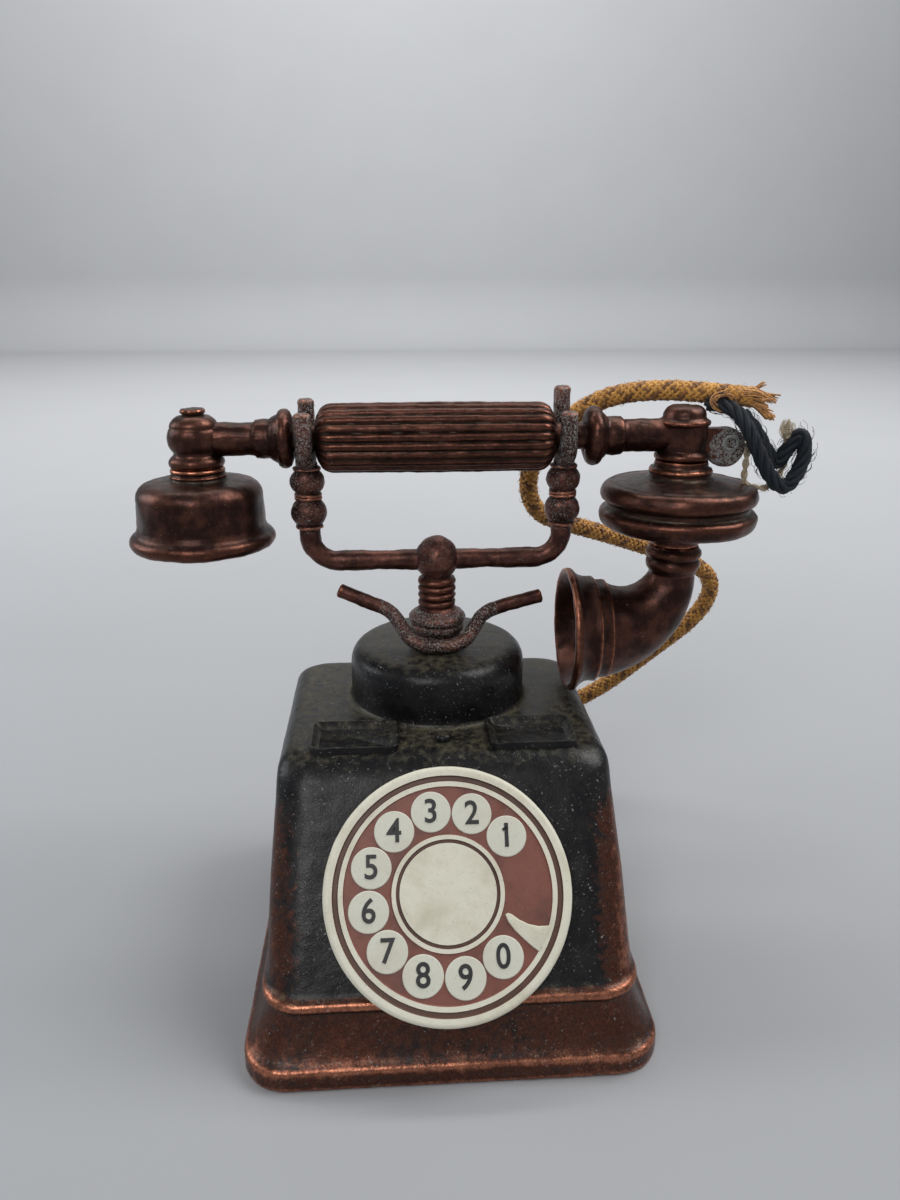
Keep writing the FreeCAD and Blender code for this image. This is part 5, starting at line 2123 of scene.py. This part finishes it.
@dataclass
class Handset:
    """Bar with a fluted grip, earpiece cup, mouthpiece drum and the horn below it.

    Attributes:
        flutes: Number of grooves.
        grip_half: Half length of the grip.
    """

    flutes: int = 22
    grip_half: float = 13.25

    def bar(self) -> bpy.types.Object:
        """Bar, hubs with their caps, and the lug.

        Returns:
            The piece, finished.
        """
        piece = Workpiece(pitch=0.4)
        grip_verts = piece.turned(Vector((0, CENTRE_Y, HANDLE_Z)), RIGHT, [
            (0, EAR_X), (2.0, EAR_X), (2.02, -25.0), (1.92, -22.4), (2.0, -21.7), (2.25, -21.5),
            (2.35, -20.6), (2.3, -19.9), ((2.6, -19.5), (2.9, -18.9)), ((3.55, -18.0), (3.2, -17.4)),
            ((2.6, -17.15), (1.6, -17.1)), (1.6, -14.5), ((2.4, -14.35), (3.0, -14.05)),
            ((3.75, -13.5), (4.15, -12.5)), (4.22, 0), (4.15, 12.5), ((3.75, 13.5), (3.0, 14.05)),
            ((2.4, 14.35), (1.6, 14.5)), (1.6, 18.1), ((2.6, 18.15), (3.2, 18.4)),
            ((3.6, 19.1), (2.9, 20.1)), ((2.6, 20.5), (2.3, 20.7)), (2.35, 21.6), (2.3, 22.5), (1.95, 22.9),
            (2.02, 26.0), (2.0, MOUTH_X), (0, MOUTH_X),
        ], steps=176)
        self.cut_flutes(grip_verts)
        piece.turned(Vector((EAR_X, CENTRE_Y, 0)), UP, [
            (0, 60.5), (3.05, 60.5), ((3.3, 61.05), (3.05, 61.6)), ((2.75, 61.85), (2.6, 62.2)),
            ((3.2, 63.7), (2.95, 65.0)), (2.8, 65.15), (2.85, 65.35), ((2.3, 66.2), (1.6, 66.55)),
            (1.25, 66.6), (1.25, 66.7), ((1.5, 67.0), (1.2, 67.35)), (0, 67.42),
        ], steps=72)
        piece.turned(Vector((MOUTH_X, CENTRE_Y, 0)), UP, [
            (0, 60.7), (3.15, 60.7), ((3.35, 61.1), (3.15, 61.6)), ((2.8, 61.9), (2.85, 62.3)),
            (2.95, 63.4), (2.9, 64.9), ((3.2, 65.2), (3.15, 65.5)), (2.75, 65.75), (2.62, 65.9),
            ((2.3, 66.8), (1.2, 67.3)), (0, 67.42),
        ], steps=72)
        self.lug(piece)
        piece.dented(0.06, 0.7)
        piece.dented(0.02, 2.5, seed=4.0)
        piece.aged(self.corroded, reach=0.5)
        return piece.finish("handset_bar", Body.HANDSET, Slot.BRONZED_CASTING, BRONZED, sharp=70)

    def cut_flutes(self, verts: Sequence[bmesh.types.BMVert]) -> None:
        """Sink even grooves along the grip.

        Args:
            verts: Vertices of the bar.
        """
        depth = 0.30
        for v in verts:
            reach = self.grip_half + 0.9 - abs(v.co.x)
            if reach <= 0:
                continue
            across = Vector((0, v.co.y - CENTRE_Y, v.co.z - HANDLE_Z))
            if across.length < 2.9:
                continue
            turn = math.atan2(across.z, across.y)
            groove = (0.5 + 0.5 * math.cos(self.flutes * turn)) ** 3
            fade = min(1.0, reach / 0.5)
            v.co -= across.normalized() * depth * groove * fade

    def lug(self, piece: Workpiece) -> None:
        """Flat tab with a round end, without a hole; the eye is made as a separate piece.

        Args:
            piece: Shape that takes the lug.
        """
        x, z, r, half = 35.65, 62.2, 2.45, 0.8
        piece.turned(Vector((x, CENTRE_Y, z)), BACK, [
            (0, -half), (r - 0.35, -half), ((r - 0.08, -half + 0.1), (r, -half + 0.45)), (r, half - 0.45),
            ((r - 0.08, half - 0.1), (r - 0.35, half)), (0, half),
        ], steps=48)
        piece.block((32.6, CENTRE_Y - half, 60.9), (x, CENTRE_Y + half, z + r - 0.1), 0.3, 2)

    def corroded(self, place: Vector) -> float:
        """Corrosion: heavy on the lug, a little near the forks.

        Args:
            place: Place on the handset.

        Returns:
            Amount of corrosion.
        """
        if place.x > 33.2:
            return 0.58
        return 0.10

    def eye(self) -> bpy.types.Object:
        """Dished eye pressed into the lug, front and back, in near-black paint; its dark middle is painted
        shade in place of a hole through the lug.

        Returns:
            The piece, finished.
        """
        centre = (36.2, 62.75)
        piece = Workpiece(pitch=0.15)
        for side in (-1, 1):
            piece.turned(Vector((centre[0], CENTRE_Y + side * 0.80, centre[1])), BACK * side, [
                (0, -0.3), (0.95, -0.3), ((1.0, 0.05), (0.82, 0.10)), ((0.68, 0.08), (0.6, -0.05)),
                (0.55, -0.22),
                (0, -0.24),
            ], steps=32)
        # Inside this radius the dish stays plain near-black: painted shade standing for the hole; round it
        # the rim takes pale corrosion.
        painted_hole_radius = 0.62
        piece.aged(lambda p: 0.66 if (p.xz - Vector(centre)).length > painted_hole_radius else 0.0, reach=0.15)
        return piece.finish("lug_eye", Body.HANDSET, Slot.BRONZED_CASTING, BLACK_PAINT, sharp=70)

    def earpiece(self) -> bpy.types.Object:
        """Cup with a beaded rim, hollow below.

        Returns:
            The piece, finished.
        """
        piece = Workpiece(pitch=0.4)
        piece.turned(Vector((EAR_X, CENTRE_Y, 0)), UP, [
            (0, 54.9), (5.6, 54.6), ((6.25, 54.2), (6.35, 53.4)), (6.5, 51.4), ((6.75, 50.95), (7.3, 50.8)),
            (8.1, 50.82), ((8.72, 51.5), (8.35, 52.45)), ((8.0, 52.7), (7.85, 53.0)), (7.72, 53.3),
            (7.66, 53.5),
            (7.5, 56.6), ((7.15, 58.0), (5.9, 58.75)), (4.2, 58.98), (3.5, 59.0), ((3.3, 59.25), (3.4, 59.5)),
            (3.1, 59.8), ((3.25, 60.1), (3.1, 60.4)), (0, 60.4),
        ], steps=112)
        piece.dented(0.09, 0.35)
        piece.dented(0.025, 1.6, seed=6.0)
        piece.aged(lambda p: 0.04, reach=0.75)
        return piece.finish("earpiece_casting", Body.HANDSET, Slot.BRONZED_CASTING, BRONZED, sharp=70)

    def drum(self) -> bpy.types.Object:
        """Grooved drum of the mouthpiece.

        Returns:
            The piece, finished.
        """
        rim = 9.7
        piece = Workpiece(pitch=0.4)
        piece.turned(Vector((MOUTH_X, CENTRE_Y, 0)), UP, [
            (0, 49.95), (3.0, 49.95), (3.2, 51.4), ((3.6, 51.75), (4.4, 51.8)), (8.0, 52.15),
            ((9.2, 52.45), (rim, 53.4)), ((rim - 0.02, 54.1), (rim - 0.5, 54.5)),
            ((rim - 0.85, 54.75), (rim - 0.85, 55.0)), ((rim - 0.8, 55.3), (rim - 0.4, 55.6)),
            ((rim, 56.2), (rim - 0.1, 56.8)), ((rim - 0.4, 57.4), (8.5, 57.75)),
            (8.2, 57.7), (8.0, 57.8), (4.6, 58.4), ((3.9, 58.6), (3.75, 59.0)), ((3.9, 59.35), (3.75, 59.7)),
            ((3.35, 59.9), (3.3, 60.2)), (3.2, 60.6), (0, 60.6),
        ], steps=128)
        piece.dented(0.09, 0.33, seed=8.0)
        piece.dented(0.02, 1.8, seed=1.0)
        piece.aged(lambda p: 0.04, reach=0.75)
        return piece.finish("mouthpiece_drum", Body.HANDSET, Slot.BRONZED_CASTING, BRONZED, sharp=70)

    def horn(self) -> bpy.types.Object:
        """Horn: ringed neck, swelling elbow and flared mouth.

        Returns:
            The piece, finished.
        """
        neck_z, centre_z, throat_x, mouth_x = 46.5, 38.55, 21.6, 16.7
        piece = Workpiece(pitch=0.4)
        piece.turned(Vector((MOUTH_X, CENTRE_Y, 0)), UP, [
            (0, 46.0), (2.9, 46.0), (3.1, 46.6), ((3.45, 47.4), (3.15, 48.1)),
            ((3.5, 48.8), (3.15, 49.45)), (3.0, 49.85), (0, 49.85),
        ], steps=64)
        line = []
        count = 30
        for i in range(count + 1):
            turn = math.pi / 2 * i / count
            line.append(Vector((
                throat_x + (MOUTH_X - throat_x) * math.cos(turn), CENTRE_Y,
                neck_z - (neck_z - centre_z) * math.sin(turn),
            )))
        piece.swept(line, lambda share: 2.9 + 3.5 * share ** 1.3, sides=80)
        length = throat_x - mouth_x
        piece.turned(Vector((throat_x, CENTRE_Y, centre_z)), LEFT, [
            (0, -0.25), (6.38, -0.25), (6.42, 0.6), (6.5, 1.15), ((6.85, 1.3), (6.9, 1.6)),
            ((7.1, 3.1), (7.75, length - 1.0)), ((8.0, length - 0.5), (7.85, length - 0.05)), (7.45, length),
            ((6.0, 3.0), (5.1, 1.0)), ((3.6, 0.15), (0, 0.02)),
        ], steps=112)
        piece.dented(0.08, 0.4, seed=9.0)
        piece.dented(0.02, 1.8, seed=7.0)
        piece.aged(lambda p: 0.04, reach=0.75)
        return piece.finish("mouthpiece_bell", Body.HANDSET, Slot.BRONZED_CASTING, BRONZED, sharp=70)

    def build(self) -> None:
        """Build the handset's pieces."""
        bar = self.bar()
        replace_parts(bar, "handset_handle", "earpiece_rivet", "mouthpiece_rivet")
        self.eye()
        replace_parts(self.earpiece(), "earpiece_cup")
        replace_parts(self.drum(), "mouthpiece_capsule")
        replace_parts(self.horn(), "mouthpiece_horn")


# ---- carried-over parts


def dress_cad_parts() -> None:
    """Give the working parts inside, whose CAD shape is right, their finishes."""
    finishes = {
        "base_plate": BLACK_PLASTIC,
        "sharpener_block": MAGNESIUM,
        "sharpener_blade": STEEL,
        "blade_screw": STEEL,
        "dial_clip": STEEL,
        "cradle_washer": STEEL,
        "cord_stop_knot": BRAID_CORE,
    }
    for name, finish in finishes.items():
        node = frame["nodes"][name]
        node.data.materials.clear()
        node.data.materials.append(material(finish))


def main() -> None:
    """Build the studio and every sub-assembly in order."""
    logging.basicConfig(level=logging.INFO, format="%(message)s")
    Studio().build()
    BraidedCord().build()
    TwistedTie(
        "navy_tie", "tie_yarn", Slot.NAVY_YARN, NAVY_WOOL,
        [
            (33.6, 11.2, 67.3), (35.8, 9.0, 67.3), (37.0, 6.8, 65.4), (38.6, 5.8, 61.8),
            (40.5, 5.6, 58.6), (42.2, 5.8, 57.6), (43.5, 6.2, 59.0), (44.7, 6.5, 61.8),
            (43.9, 6.9, 64.6), (42.6, 7.2, 62.4), (41.6, 7.4, 60.2), (40.2, 7.6, 61.8),
            (38.6, 7.8, 64.6), (36.8, 8.2, 66.4),
        ],
        diameter=1.85, plies=5, lead=9.0, fluff=240,
    ).build(cord=True)
    TwistedTie(
        "white_tie", "white_thread", Slot.CREAM_THREAD, CREAM_COTTON,
        [
            (38.3, 9.0, 62.8), (38.2, 8.6, 60.2), (37.9, 8.3, 57.6), (39.6, 8.0, 57.3), (41.4, 7.8, 57.4),
            (42.9, 8.2, 60.0), (42.5, 7.6, 62.2), (42.2, 7.0, 64.6),
        ],
        diameter=0.85, plies=2, lead=2.6, fluff=120, tuft=70,
    ).build(cord=False)
    for assembly in (BaseCasting(), RotaryDial(), Cradle(), HookLevers(), Handset()):
        assembly.build()
        LOG.info("built %s", type(assembly).__name__)
    dress_cad_parts()


if __name__ == "__main__":
    main()
